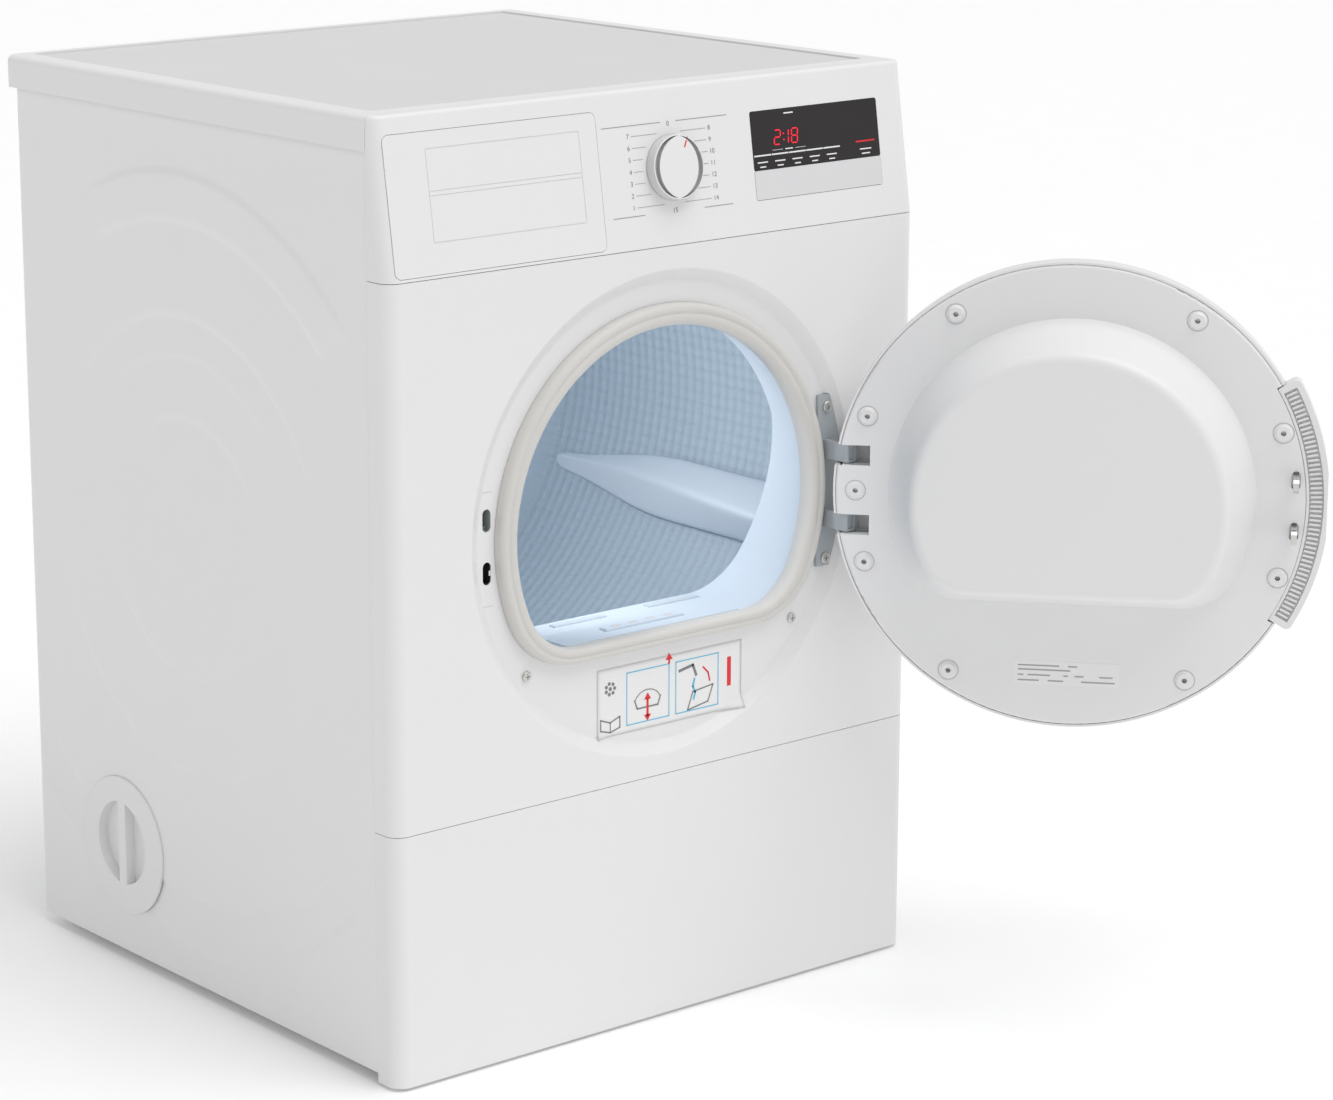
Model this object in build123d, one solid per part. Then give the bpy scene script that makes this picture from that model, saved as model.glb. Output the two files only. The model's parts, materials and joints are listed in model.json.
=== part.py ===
from build123d import *

import math
import os

# Free-standing front-loading vented clothes dryer, with its round door swung open.
#
# Millimetres. +X is to the right of someone facing the door, +Y to the rear, +Z up. The origin is on the floor
# under the centre of the cabinet. Depths (d) are measured rearwards from the plane of the front panel.

# ---- cabinet ----
WIDTH = 598.0
HEIGHT = 842.0
DEPTH = 596.0                      # front panel plane to the rear edge of the worktop
FRONT = -DEPTH / 2                 # Y of the front panel plane
HALF = WIDTH / 2
SHEET = 1.0                        # painted steel sheet
PLASTIC = 2.5                      # moulded plastic walls
SEAM = 0.6                         # visible gap between neighbouring covers
WRAP = 28.6                        # how far the front covers wrap round the sides
CORNER = 14.0                      # rounding of the cabinet's front corners
SIDE_REAR = 574.0                  # depth of the side panels' rear edges
REAR_PANEL = 565.0                 # depth of the rear panel's front face
FASCIA_Z = 706.0                   # lower edge of the control fascia
PLINTH_Z = 229.6                   # upper edge of the plinth cover
PLINTH_LOW = 3.0
SIDE_LOW = 11.0
TOP_LOW = 812.4                    # underside of the worktop's band

# ---- sloping fascia; heights (v) are measured up its slope ----
FASCIA_BACK = 20.7                 # how far its top leans back
SLOPE = math.hypot(FASCIA_BACK, HEIGHT - FASCIA_Z)
LEAN = (FASCIA_BACK / SLOPE, (HEIGHT - FASCIA_Z) / SLOPE)
BLANK = (-289.4, -65.2, 2.8, 121.2)       # x0, x1, v0, v1
WINDOW = (109.0, 260.4, 54.2, 106.0)
KEYS = (109.0, 260.4, 28.4, 54.0)
KNOB_AT = (14.6, 66.8)
KNOB_R = 28.2
KNOB_RIM = 5.0                     # height of the knob's round base
KNOB_TOP = 11.8                    # height of its grip

# ---- door opening in the front panel ----
OPEN_X = 4.0
OPEN_Z = 467.0
DISH_R = 218.0                     # dished seat of the door, at the front surface
DISH_FLOOR_R = 207.0
DISH_DEPTH = 8.0
SEAL_OUT = (188.0, 118.0, 74.0)    # D outlines: radius, centre to flat, corner radius
SEAL_IN = (168.0, 103.5, 60.0)
SEAL_NECK = (174.0, 109.5, 64.0)
SEAL_FRONT = -3.4
TUNNEL = (178.0, 109.0, 62.0)

# ---- door, described closed ----
DOOR_FACE = -4.0                   # depth of the door's inner face
DOOR_R = 212.8
DOOR_WALL = 20.0                   # height of the door's cylindrical edge
DOOR_ROUND = 14.0
DOOR_DOME = 49.0                   # whole thickness at the centre
BULGE_BASE = (163.0, 98.0, 56.0)
BULGE_TOP = (138.5, 80.0, 46.0)
BULGE_LIFT = 2.5                   # the bulge's flat top sits this much higher than its base
BULGE_HEIGHT = 60.0
BOSS_RING = 195.0
MIDDLE_BOSS = 192.5                # the boss between the hinge arms lies a little further in and is lower
BOSS_ANGLES = (57.2, 122.8, 160.3, 199.7, 237.2, 302.8, 20.6, 340.3, 0.0)
BOSS_R = 8.6
HOOK_U = 196.0                     # door centre to the two hooks
HOOK_V = 23.2
LATCH_X = OPEN_X - HOOK_U
HINGE_X = 203.0
HINGE_D = -20.0
HINGE_PLATE = (190.2, 211.0)       # the hinge plate's inner and outer radius round the opening
HINGE_PLATE_Z = (389.4, 549.0)
HINGE_SCREW = (196.0, 70.6)
ARM_V = 32.0                       # opening centre to each hinge arm, vertically
ARM_H = 16.4
NOTCH_X = OPEN_X + 179.5           # where the door's hinge notches end
NOTCH_LOW = HINGE_D - 14.0
NOTCH_H = 19.4
REST_ANGLE = 131.0                 # how far the door stands open at rest
PIN_R = 3.0
HANDLE_IN = 205.8
HANDLE_OUT = 226.0
HANDLE_HALF = 30.5                 # degrees each side of the horizontal

# ---- front shield and lint filter ----
SHIELD_PLATE = 44.0
HOOD_DEEP = 106.0
SHIELD_FLOOR = OPEN_Z - TUNNEL[1]
FILTER_HALF = 97.0
FILTER_D = (22.0, 50.0)
FILTER_LOW = 244.0

# ---- drum ----
DRUM_Z = 504.0
DRUM_R = 285.0
DRUM_FRONT = 54.0
DRUM_REAR = 488.0
ROLLER_R = 30.0
ROLLER_SPREAD = 35.0               # degrees from the vertical
LIFTER_START = -22.0

# ---- drive and air path in the base ----
MOTOR_X = 110.0
MOTOR_Z = 112.0
MOTOR_R = 55.0
PULLEY_R = 11.0
BELT_D = 290.0
BELT_W = 10.0
BELT_T = 2.2
IDLER_R = 18.0
ARM_PIVOT = (-46.0, 66.0)
DUCT_X = -170.0
DUCT_Z = 116.0
DUCT_R = 49.5
CAP_D = 427.0                      # depth of the side exhaust opening
CAP_R = 66.0
FOOT_X = 248.0
FOOT_D = (62.0, 520.0)
RUN = 0.05                         # radial clearance of a running shaft
GAP = 0.4                          # clearance between pieces that only face each other

parts = {}


# ---- helpers ----
def block(x0, x1, d0, d1, z0, z1):
    """A box between two X, two depths and two heights."""
    size = Box(x1 - x0, d1 - d0, z1 - z0)
    return Pos((x0 + x1) / 2, FRONT + (d0 + d1) / 2, (z0 + z1) / 2) * size


def rod_x(d, z, r, x0, x1):
    return Location(((x0 + x1) / 2, FRONT + d, z), (0, 90, 0)) * Cylinder(r, x1 - x0)


def rod_y(x, z, r, d0, d1):
    return Location((x, FRONT + (d0 + d1) / 2, z), (90, 0, 0)) * Cylinder(r, d1 - d0)


def rod_z(x, d, r, z0, z1):
    return Pos(x, FRONT + d, (z0 + z1) / 2) * Cylinder(r, z1 - z0)


def cone_y(x, z, r_front, r_back, d0, d1):
    place = Location((x, FRONT + (d0 + d1) / 2, z), (90, 0, 0))
    return place * Cone(r_back, r_front, d1 - d0)


def facing(d):
    """The plane at depth d that faces the user; its X and Y are the cabinet's X and Z."""
    return Plane(origin=(0, FRONT + d, 0), x_dir=(1, 0, 0), z_dir=(0, -1, 0))


def slab(outline, d0, d1):
    """An outline in X and Z, made solid between two depths."""
    return extrude(facing(d1) * outline, d1 - d0)


def d_outline(radius, flat, corner, lift=0.0):
    """A circle with a flat bottom and rounded bottom corners, round the opening's centre."""
    reach = radius - corner
    side = math.sqrt(reach**2 - (flat - corner) ** 2)
    low = flat - corner
    ex, ez = radius * side / reach, -radius * low / reach
    turn = (math.atan2(-low, side) - math.pi / 2) / 2
    mx, mz = side + corner * math.cos(turn), -low + corner * math.sin(turn)
    outline = [
        Line((-side, -flat), (side, -flat)),
        ThreePointArc((side, -flat), (mx, mz), (ex, ez)),
        ThreePointArc((ex, ez), (0, radius), (-ex, ez)),
        ThreePointArc((-ex, ez), (-mx, mz), (-side, -flat)),
    ]
    return Pos(OPEN_X, OPEN_Z + lift) * make_face(outline)


def d_ring(outer, inner, d0, d1):
    return slab(d_outline(*outer), d0, d1) - slab(d_outline(*inner), d0 - 1, d1 + 1)


def grown(outline, by):
    """The same D outline, by millimetres larger all round."""
    radius, flat, corner = outline
    return (radius + by, flat + by, corner + by)


def upright_edges(solid, y_group):
    """The vertical edges of a box at its front (0) or rear (-1)."""
    return solid.edges().filter_by(Axis.Z).group_by(Axis.Y)[y_group]


def wrapped_cover(z0, z1, wall):
    """A front cover with rounded corners that wraps round both sides, open at the rear."""
    outer = block(-HALF, HALF, 0, WRAP, z0, z1)
    outer = fillet(upright_edges(outer, 0), CORNER)
    inner = block(-HALF + wall, HALF - wall, wall, WRAP + 1, z0 + wall, z1 - wall)
    inner = fillet(upright_edges(inner, 0), CORNER - wall)
    return outer - inner


def polar(radius, degrees, x=0.0, z=0.0):
    turn = math.radians(degrees)
    return x + radius * math.cos(turn), z + radius * math.sin(turn)


def screw(x, d, z, head_r=4.6, length=12.0):
    """A pan-head screw driven rearwards, with a cross slot; d is the underside of its head."""
    head = rod_y(x, z, head_r, d - 2.4, d)
    head = fillet(head.edges().group_by(Axis.Y)[0], 1.2)
    shank = rod_y(x, z, 1.7, d, d + length)
    slot = block(x - 2.6, x + 2.6, d - 3, d - 1, z - 0.5, z + 0.5)
    cross = block(x - 0.5, x + 0.5, d - 3, d - 1, z - 2.6, z + 2.6)
    return head + shank - slot - cross


# ---- the sloping fascia ----
def fascia_plane(rise=0.0):
    """A plane parallel to the fascia's face; its X and Y are the cabinet's X and the height up the slope."""
    return Plane(origin=(0, FRONT, FASCIA_Z), x_dir=(1, 0, 0), z_dir=(0, -LEAN[1], LEAN[0])).offset(rise)


def on_fascia(outline, low, high):
    """An outline on the fascia, made solid between two heights above its face."""
    return extrude(fascia_plane(low) * outline, high - low)


def panel_outline(area, corner, grow=0.0):
    x0, x1, v0, v1 = area
    middle = Pos((x0 + x1) / 2, (v0 + v1) / 2)
    return middle * RectangleRounded(x1 - x0 + 2 * grow, v1 - v0 + 2 * grow, corner + max(grow, 0))


def fascia_body(inset, end):
    """The fascia's wedge, inset by a wall thickness, with rounded front corners."""
    low = FASCIA_Z + inset
    high = HEIGHT - inset
    rear = FRONT + WRAP + (1 if inset else 0)
    lean = FASCIA_BACK / (HEIGHT - FASCIA_Z)
    y_low = FRONT + inset * 1.02 + (low - FASCIA_Z) * lean
    y_high = FRONT + inset * 1.02 + (high - FASCIA_Z) * lean
    corners = [(y_low, low), (rear, low), (rear, high), (y_high, high)]
    profile = make_face(Polyline(*corners, close=True))
    wedge = extrude(Plane.YZ * profile, end, both=True)
    front = wedge.edges().filter_by(lambda e: abs(abs(e.center().X) - end) < 0.1)
    front = front.filter_by(lambda e: e.center().Y < FRONT + inset + 12 and e.length > 50)
    return fillet(front, CORNER - inset)


def build_fascia():
    outer = fascia_body(0, HALF)
    top = outer.edges().filter_by(lambda e: e.center().Z > HEIGHT - 0.5 and e.center().Y < FRONT + 26)
    outer = fillet(top, 4.0)
    shell = outer - fascia_body(PLASTIC, HALF - PLASTIC)
    for area, corner in ((BLANK, 6.0), (WINDOW, 2.0), (KEYS, 2.0)):
        shell -= on_fascia(panel_outline(area, corner, GAP), -8, 5)
    shell -= on_fascia(Pos(*KNOB_AT) * Circle(4.5), -8, 5)
    parts["control_fascia"] = shell

    plate = on_fascia(panel_outline(BLANK, 6.0), -PLASTIC, 0)
    inset = (BLANK[0] + 42, BLANK[1] - 19, BLANK[2] + 26, BLANK[3] - 14)
    groove = on_fascia(panel_outline(inset, 1.0), -0.5, 1)
    groove -= on_fascia(panel_outline(inset, 1.0, -0.9), -1, 2)
    for v in (67.6, 71.4):
        groove += on_fascia(panel_outline((inset[0], inset[1], v, v + 0.6), 0.2), -0.5, 1)
    rim = (BLANK[0] + 1, BLANK[1] + 2, BLANK[2] + 1, BLANK[3] + 1.6)
    flange = on_fascia(panel_outline(rim, 6.0), -PLASTIC - 2.6, -PLASTIC - 0.2)
    stem = on_fascia(panel_outline(BLANK, 6.0, -1.0), -PLASTIC - 0.2, -PLASTIC)
    parts["blanking_panel"] = plate - groove + flange + stem

    for name, area in (("display_window", WINDOW), ("touch_key_strip", KEYS)):
        lens = on_fascia(panel_outline(area, 2.0), -PLASTIC, 0.2)
        parts[name] = lens

    board = on_fascia(panel_outline((98, 272, 18, 102), 3.0), -15.6, -14)
    for x, v, w, h, tall in ((130, 92, 30, 16, 4), (210, 88, 50, 20, 8), (150, 48, 22, 22, 3), (240, 46, 24, 30, 6)):
        chip = panel_outline((x - w / 2, x + w / 2, v - h / 2, v + h / 2), 1.0)
        board += on_fascia(chip, -14, -14 + tall)
    parts["control_board"] = board

    knob_spot = Pos(*KNOB_AT)
    switch = on_fascia(knob_spot * RectangleRounded(34, 34, 4), -20.6, -3.4)
    switch -= on_fascia(knob_spot * Circle(PIN_R + RUN), -30, 0)
    parts["selector_switch"] = switch


def build_knob():
    """A round base with a lens-shaped grip that narrows towards its face."""
    spot = Pos(*KNOB_AT)
    base = on_fascia(spot * Circle(KNOB_R), 0.6, KNOB_RIM)
    base = fillet(base.edges().filter_by(GeomType.CIRCLE).sort_by(Axis.Y)[0], 1.0)

    def lens(shift, rise):
        """Where two circles overlap, each moved sideways by the shift."""
        radius = KNOB_R - 0.6
        overlap = Pos(shift, 0) * Circle(radius) & Pos(-shift, 0) * Circle(radius)
        return fascia_plane(rise) * (spot * Rot(0, 0, -6) * overlap)

    grip = loft([lens(3.4, KNOB_RIM - 0.5), lens(5.4, KNOB_TOP)], ruled=True)
    body = base + grip
    hollow = on_fascia(spot * (Circle(KNOB_R - 2.5) - Circle(7.0)), 0, KNOB_RIM - 2.0)
    body -= hollow
    body += on_fascia(spot * Circle(PIN_R), -18.0, KNOB_RIM)
    parts["program_knob"] = body


# ---- cabinet covers ----
def build_worktop():
    band = block(-HALF, HALF, WRAP + 0.3, DEPTH, TOP_LOW, HEIGHT)
    band = fillet(upright_edges(band, -1), 12.0)
    rim = band.edges().filter_by(lambda e: e.center().Z > HEIGHT - 0.1 and e.center().Y > FRONT + WRAP + 2)
    band = fillet(rim, 6.0)
    under = block(-HALF + 4, HALF - 4, WRAP + 4, DEPTH - 4, TOP_LOW - 1, HEIGHT - 20)
    board = (-277.0, 277.0, 50.0, 580.0)
    hole = block(*board[:2], *board[2:], TOP_LOW - 2, HEIGHT + 1)
    hole = fillet(hole.edges().filter_by(Axis.Z), 5.0)
    ledge = block(board[0] - 5, board[1] + 5, board[2] - 5, board[3] + 5, HEIGHT - 23, HEIGHT - 20)
    ledge -= block(board[0] + 14, board[1] - 14, board[2] + 14, board[3] - 14, HEIGHT - 30, HEIGHT)
    parts["worktop_frame"] = band - under - hole + ledge
    top = block(board[0] + GAP, board[1] - GAP, board[2] + GAP, board[3] - GAP, HEIGHT - 20, HEIGHT - 1.6)
    parts["worktop_board"] = fillet(top.edges().filter_by(Axis.Z), 5.0 - GAP)


def build_side(side, name):
    plate = block(-HALF, -HALF + SHEET, WRAP + 0.3, SIDE_REAR, SIDE_LOW, TOP_LOW)
    plate += block(-HALF, -HALF + 18, WRAP + 0.3, WRAP + 0.3 + SHEET, SIDE_LOW, TOP_LOW)
    plate += block(-HALF, -HALF + 20, SIDE_REAR - SHEET, SIDE_REAR, SIDE_LOW, TOP_LOW)
    plate += block(-HALF, -HALF + 16, WRAP + 0.3, SIDE_REAR, TOP_LOW - SHEET, TOP_LOW)
    plate += block(-HALF, -HALF + 14, WRAP + 0.3, SIDE_REAR, SIDE_LOW, SIDE_LOW + SHEET)
    if side > 0:
        parts[name] = mirror(plate, Plane.YZ)
        return
    parts[name] = plate - rod_x(CAP_D, DUCT_Z, CAP_R - 3, -HALF - 1, -HALF + 5)


def build_cap():
    """The bayonet cover of the side exhaust opening: a disc with a sunk grip bar and three lugs behind."""
    outer_face = -HALF - 2.4
    cover = rod_x(CAP_D, DUCT_Z, CAP_R, outer_face, outer_face + 2.2)
    cover = fillet(cover.edges().group_by(Axis.X)[0], 1.0)
    cover += rod_x(CAP_D, DUCT_Z, CAP_R - 4.5, outer_face + 2.2, outer_face + 12.0)
    pocket = rod_x(CAP_D + 2, DUCT_Z + 2, 40.0, outer_face - 1, outer_face + 10.0)
    pocket -= block(outer_face - 2, outer_face + 20, CAP_D - 5, CAP_D + 7, DUCT_Z - 50, DUCT_Z + 50)
    cover -= pocket
    for turn in (90, 210, 330):
        d, z = polar(CAP_R - 4.5, turn, CAP_D, DUCT_Z)
        cover += rod_x(d, z, 4.0, outer_face + 8.0, outer_face + 12.0)
    parts["exhaust_cap"] = cover


def build_rear():
    sheet = block(-HALF + 1.4, HALF - 1.4, REAR_PANEL, REAR_PANEL + SHEET, SIDE_LOW + 2, TOP_LOW - 1.4)
    sheet -= rod_y(0, DRUM_Z, 205, REAR_PANEL - 1, REAR_PANEL + 3)
    sheet -= rod_y(DUCT_X, DUCT_Z, DUCT_R + 1.0, REAR_PANEL - 1, REAR_PANEL + 3)
    sheet -= block(60, 200, REAR_PANEL - 1, REAR_PANEL + 3, 120, 200)
    for row in range(8):
        z = 40 + 9 * row
        sheet -= block(-60, 20, REAR_PANEL - 1, REAR_PANEL + 3, z, z + 3.6)
    sheet -= block(-270, -200, REAR_PANEL - 1, REAR_PANEL + 3, 716, 766)
    collar = rod_y(0, DRUM_Z, 215, DRUM_REAR + 12, REAR_PANEL + SHEET)
    collar -= rod_y(0, DRUM_Z, 213, DRUM_REAR + 11, REAR_PANEL - SHEET)
    sheet += collar - rod_y(0, DRUM_Z, 205, REAR_PANEL - 2 * SHEET, REAR_PANEL + 3)
    parts["rear_panel"] = sheet

    face = REAR_PANEL + SHEET
    deep = face + 26
    outline = Pos(0, DRUM_Z) * Circle(222) + Pos(130, 330) * RectangleRounded(180, 460, 30)
    inner = Pos(0, DRUM_Z) * Circle(219.5) + Pos(130, 330) * RectangleRounded(175, 455, 28)
    cover = slab(outline, face + 0.1, deep) - slab(inner, face - 1, deep - 2.0)
    parts["rear_air_cover"] = cover

    coil = None
    for i in range(4):
        x = 76 + 36 * i
        leg = rod_z(x, face + 12, 3.2, 215, 385)
        coil = leg if coil is None else coil + leg
        if i < 3:
            coil += rod_x(face + 12, 385 if i % 2 == 0 else 215, 3.2, x, x + 36)
    coil += block(70, 190, face + 6, face + 18, 200, 212)
    parts["heater_coil"] = coil

    spider = rod_y(0, DRUM_Z, 26, REAR_PANEL - 30, REAR_PANEL - 2.4)
    for turn in (90, 210, 330):
        arm = block(0, 212.0, REAR_PANEL - 9, REAR_PANEL - SHEET, -14, 14)
        spider += Pos(0, 0, DRUM_Z) * arm.rotate(Axis.Y, -turn)
    spider -= rod_y(0, DRUM_Z, 16.0, REAR_PANEL - 31, REAR_PANEL)
    parts["bearing_spider"] = spider
    sleeve = rod_y(0, DRUM_Z, 16.0, REAR_PANEL - 30, REAR_PANEL - 4)
    parts["drum_bearing"] = sleeve - rod_y(0, DRUM_Z, 12.5 + RUN, REAR_PANEL - 31, REAR_PANEL - 3)

    box = block(-268, -202, REAR_PANEL - 42, REAR_PANEL - 0.2, 714, 768)
    box -= block(-265.5, -204.5, REAR_PANEL - 39.5, REAR_PANEL + 1, 716.5, 765.5)
    lid = block(-269.6, -200.4, REAR_PANEL + SHEET + 0.1, REAR_PANEL + SHEET + 2.6, 715.4, 766.6)
    box += block(-268, -202, REAR_PANEL - 0.2, REAR_PANEL + SHEET + 0.1, 717, 765) - block(
        -265.5, -204.5, REAR_PANEL - 3, REAR_PANEL + 3, 719, 763
    )
    gland = rod_y(-235, 741, 9.0, REAR_PANEL + SHEET + 2.6, REAR_PANEL + SHEET + 14)
    parts["mains_terminal_box"] = box + lid + gland - rod_y(-235, 741, 4.2, REAR_PANEL, REAR_PANEL + 30)


def hinge_plate_outline(grow=0.0):
    """A strip beside the seal, between two circles round the opening."""
    inner, outer = HINGE_PLATE
    low, high = HINGE_PLATE_Z
    ring = Pos(OPEN_X, OPEN_Z) * (Circle(outer + grow) - Circle(inner - grow))
    return ring & Pos(203.5, (low + high) / 2) * Rectangle(36 + 2 * grow, high - low + 2 * grow)


def build_front_panel():
    cover = wrapped_cover(PLINTH_Z + SEAM, FASCIA_Z - SEAM, SHEET + 0.2)
    floor = DISH_DEPTH + 1.2
    cover += rod_y(OPEN_X, OPEN_Z, DISH_R + 1.5, 0, floor)
    cover -= cone_y(OPEN_X, OPEN_Z, DISH_R, DISH_FLOOR_R, 0, DISH_DEPTH)
    rims = cover.edges().filter_by(GeomType.CIRCLE)
    for radius, soften in ((DISH_R, 3.0), (DISH_FLOOR_R, 5.0)):
        circle = rims.filter_by(lambda e, r=radius: abs(e.radius - r) < 0.01)
        cover = fillet(circle, soften)
        rims = cover.edges().filter_by(GeomType.CIRCLE)
    cover -= slab(d_outline(*grown(SEAL_NECK, 1.0)), -1, floor + 1)
    for z, tall in ((OPEN_Z + HOOK_V, 20.0), (OPEN_Z - HOOK_V, 20.0)):
        hole = Pos(OPEN_X - HOOK_U, z) * SlotOverall(tall, 9.0, rotation=90)
        cover -= slab(hole, -1, floor + 1)
    for x, z in ((-150, 345.5), (158, 345.5)):
        cover -= rod_y(x, z, 2.2, 0, floor + 1)
    cover -= slab(hinge_plate_outline(0.4), 0, DISH_DEPTH)
    for z in (OPEN_Z + HINGE_SCREW[1], OPEN_Z - HINGE_SCREW[1]):
        cover -= rod_y(HINGE_SCREW[0], z, 2.2, 0, floor + 1)
    parts["front_panel"] = cover

    screws = screw(-150, DISH_DEPTH - 0.1, 345.5) + screw(158, DISH_DEPTH - 0.1, 345.5)
    for z in (OPEN_Z + HINGE_SCREW[1], OPEN_Z - HINGE_SCREW[1]):
        screws += screw(HINGE_SCREW[0], DISH_DEPTH - 3.2, z, 5.2)
    parts["front_screws"] = screws

    plinth = wrapped_cover(PLINTH_LOW, PLINTH_Z, 2.0)
    parts["plinth_cover"] = plinth


def build_seal():
    lip = d_ring(SEAL_OUT, SEAL_IN, SEAL_FRONT, DISH_DEPTH - 0.1)
    lip = fillet(lip.faces().sort_by(Axis.Y)[0].outer_wire().edges(), 6.0)
    lip = fillet(lip.faces().sort_by(Axis.Y)[0].inner_wires()[0].edges(), 7.0)
    neck = d_ring(SEAL_NECK, grown(SEAL_NECK, -5.0), DISH_DEPTH - 0.2, 15.0)
    parts["door_seal"] = lip + neck


# ---- latch ----
def build_latch():
    back = DISH_DEPTH + 1.2
    case = block(LATCH_X - 13, LATCH_X + 12, back + 0.2, back + 24, OPEN_Z - 44, OPEN_Z + 44)
    case -= block(LATCH_X - 10.5, LATCH_X + 9.5, back - 1, back + 21.5, OPEN_Z - 41.5, OPEN_Z + 41.5)
    for side in (1, -1):
        case += block(LATCH_X - 13, LATCH_X - 3, back + 0.2, back + 2.2, *sorted((OPEN_Z, OPEN_Z + side * 8)))
    case += block(LATCH_X - 8, LATCH_X + 8, back + 14, back + 22, OPEN_Z - 36, OPEN_Z - 12)
    parts["latch_case"] = case
    top = OPEN_Z + HOOK_V - 6.0 - 0.6
    bolt = block(LATCH_X - 4, LATCH_X + 4, back + 6.2, back + 9.8, OPEN_Z - 10, top)
    bolt += block(LATCH_X - 8, LATCH_X + 8, back + 5.0, back + 11.0, OPEN_Z - 10, OPEN_Z + 6)
    parts["latch_bolt"] = bolt


# ---- door ----
def opened(solid):
    """Turns a piece of the closed door to the door's rest angle about the hinge."""
    axis = Axis((HINGE_X, FRONT + HINGE_D, 0), (0, 0, 1))
    return solid.rotate(axis, REST_ANGLE)


def notches():
    """The two openings that the hinge arms reach through, cut from the door's hinge side."""
    cut = None
    for side in (-1, 1):
        z = OPEN_Z + side * ARM_V
        slot = block(NOTCH_X, HINGE_X + 30, NOTCH_LOW, DOOR_FACE + 1, z - NOTCH_H / 2, z + NOTCH_H / 2)
        cut = slot if cut is None else cut + slot
    return cut


def build_door_inner():
    wall = PLASTIC
    edge = DOOR_R - 2.2
    back = DOOR_FACE - DOOR_WALL + 2.0
    dish = rod_y(OPEN_X, OPEN_Z, edge, back, DOOR_FACE)
    dish = fillet(dish.edges().group_by(Axis.Y)[-1], 3.0)
    dish -= rod_y(OPEN_X, OPEN_Z, edge - wall, back - 1, DOOR_FACE - wall)
    base = facing(DOOR_FACE) * d_outline(*BULGE_BASE)
    crown = facing(DOOR_FACE + BULGE_HEIGHT) * d_outline(*BULGE_TOP, lift=BULGE_LIFT)
    bulge = loft([base, crown], ruled=True)
    bulge = fillet(bulge.faces().sort_by(Axis.Y)[-1].edges(), 10.0)
    base_in = facing(DOOR_FACE - wall - 0.5) * d_outline(*grown(BULGE_BASE, -wall))
    crown_in = facing(DOOR_FACE + BULGE_HEIGHT - wall) * d_outline(*grown(BULGE_TOP, -wall), lift=BULGE_LIFT)
    hollow = loft([base_in, crown_in], ruled=True)
    shell = dish + bulge - hollow
    for turn in BOSS_ANGLES:
        x, z = polar(BOSS_RING if turn else MIDDLE_BOSS, turn, OPEN_X, OPEN_Z)
        rise = 2.6 if turn else 1.2
        shell += cone_y(x, z, BOSS_R, BOSS_R - 2.4, DOOR_FACE - 0.5, DOOR_FACE + rise)
        if turn:
            shell += rod_y(x, z, 5.0, back + 1, DOOR_FACE - wall + 0.1)
        shell -= rod_y(x, z, 2.4, back - 1, DOOR_FACE + 4)
    for side in (-1, 1):
        hole = Pos(OPEN_X - HOOK_U, OPEN_Z + side * HOOK_V) * SlotOverall(17.0, 8.0, rotation=90)
        shell -= slab(hole, DOOR_FACE - wall - 1, DOOR_FACE + 1)
    shell -= notches()
    shell -= block(HINGE_X - 9, HINGE_X + 9, HINGE_D - 8, HINGE_D + 8, OPEN_Z - 51, OPEN_Z + 51)
    cut_ring = rod_y(OPEN_X, OPEN_Z, DOOR_R + 5, back - 1, DOOR_FACE + 1)
    cut_ring -= rod_y(OPEN_X, OPEN_Z, HANDLE_IN - 0.4, back - 2, DOOR_FACE + 2)
    wedge = handle_wedge(HANDLE_HALF + 0.4, back - 2, DOOR_FACE + 2)
    shell -= cut_ring & wedge
    parts["door_inner_shell"] = opened(shell)


def handle_wedge(half_angle, d0, d1):
    """A sector on the door's free side, as wide as the handle."""
    reach = 260.0
    top = polar(reach, 180 - half_angle, OPEN_X, OPEN_Z)
    low = polar(reach, 180 + half_angle, OPEN_X, OPEN_Z)
    return slab(make_face(Polyline((OPEN_X, OPEN_Z), top, low, close=True)), d0, d1)


def build_door_outer():
    """A thin bowl: cylindrical edge, rounded shoulder and shallow dome."""
    edge = DOOR_FACE - 1.2
    bend_start = DOOR_FACE - DOOR_WALL
    shoulder = bend_start - DOOR_ROUND
    front = DOOR_FACE - DOOR_DOME

    def bowl(inset, top):
        """Half the bowl's section, filled, set in by a wall thickness."""
        r = DOOR_R - inset
        turn = DOOR_ROUND - inset
        diagonal = turn * math.sqrt(0.5)
        knee = (r - turn, shoulder + inset)
        crown = (0, front + inset)
        rise = knee[1] - crown[1]
        ball_r = (knee[0] ** 2 + rise**2) / (2 * rise)
        half = math.asin(knee[0] / ball_r) / 2
        on_ball = (ball_r * math.sin(half), crown[1] + ball_r * (1 - math.cos(half)))
        outline = [
            Line((0, top), (r, top)),
            Line((r, top), (r, bend_start)),
            ThreePointArc((r, bend_start), (r - turn + diagonal, bend_start - diagonal), knee),
            ThreePointArc(knee, on_ball, crown),
            Line(crown, (0, top)),
        ]
        downwards = Plane(origin=(OPEN_X, FRONT, OPEN_Z), x_dir=(0, 0, -1), z_dir=(1, 0, 0))
        axis = Axis((OPEN_X, FRONT, OPEN_Z), (0, 1, 0))
        return revolve(downwards * make_face(outline), axis=axis)

    shell = bowl(0, edge) - bowl(2.0, edge + 2) - notches()
    ring = rod_y(OPEN_X, OPEN_Z, DOOR_R + 1, bend_start, DOOR_FACE + 1)
    ring -= rod_y(OPEN_X, OPEN_Z, DOOR_R - 4, bend_start - 1, DOOR_FACE + 2)
    shell -= ring & handle_wedge(HANDLE_HALF + 0.4, bend_start, DOOR_FACE + 2)
    parts["door_outer_shell"] = opened(shell)


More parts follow.
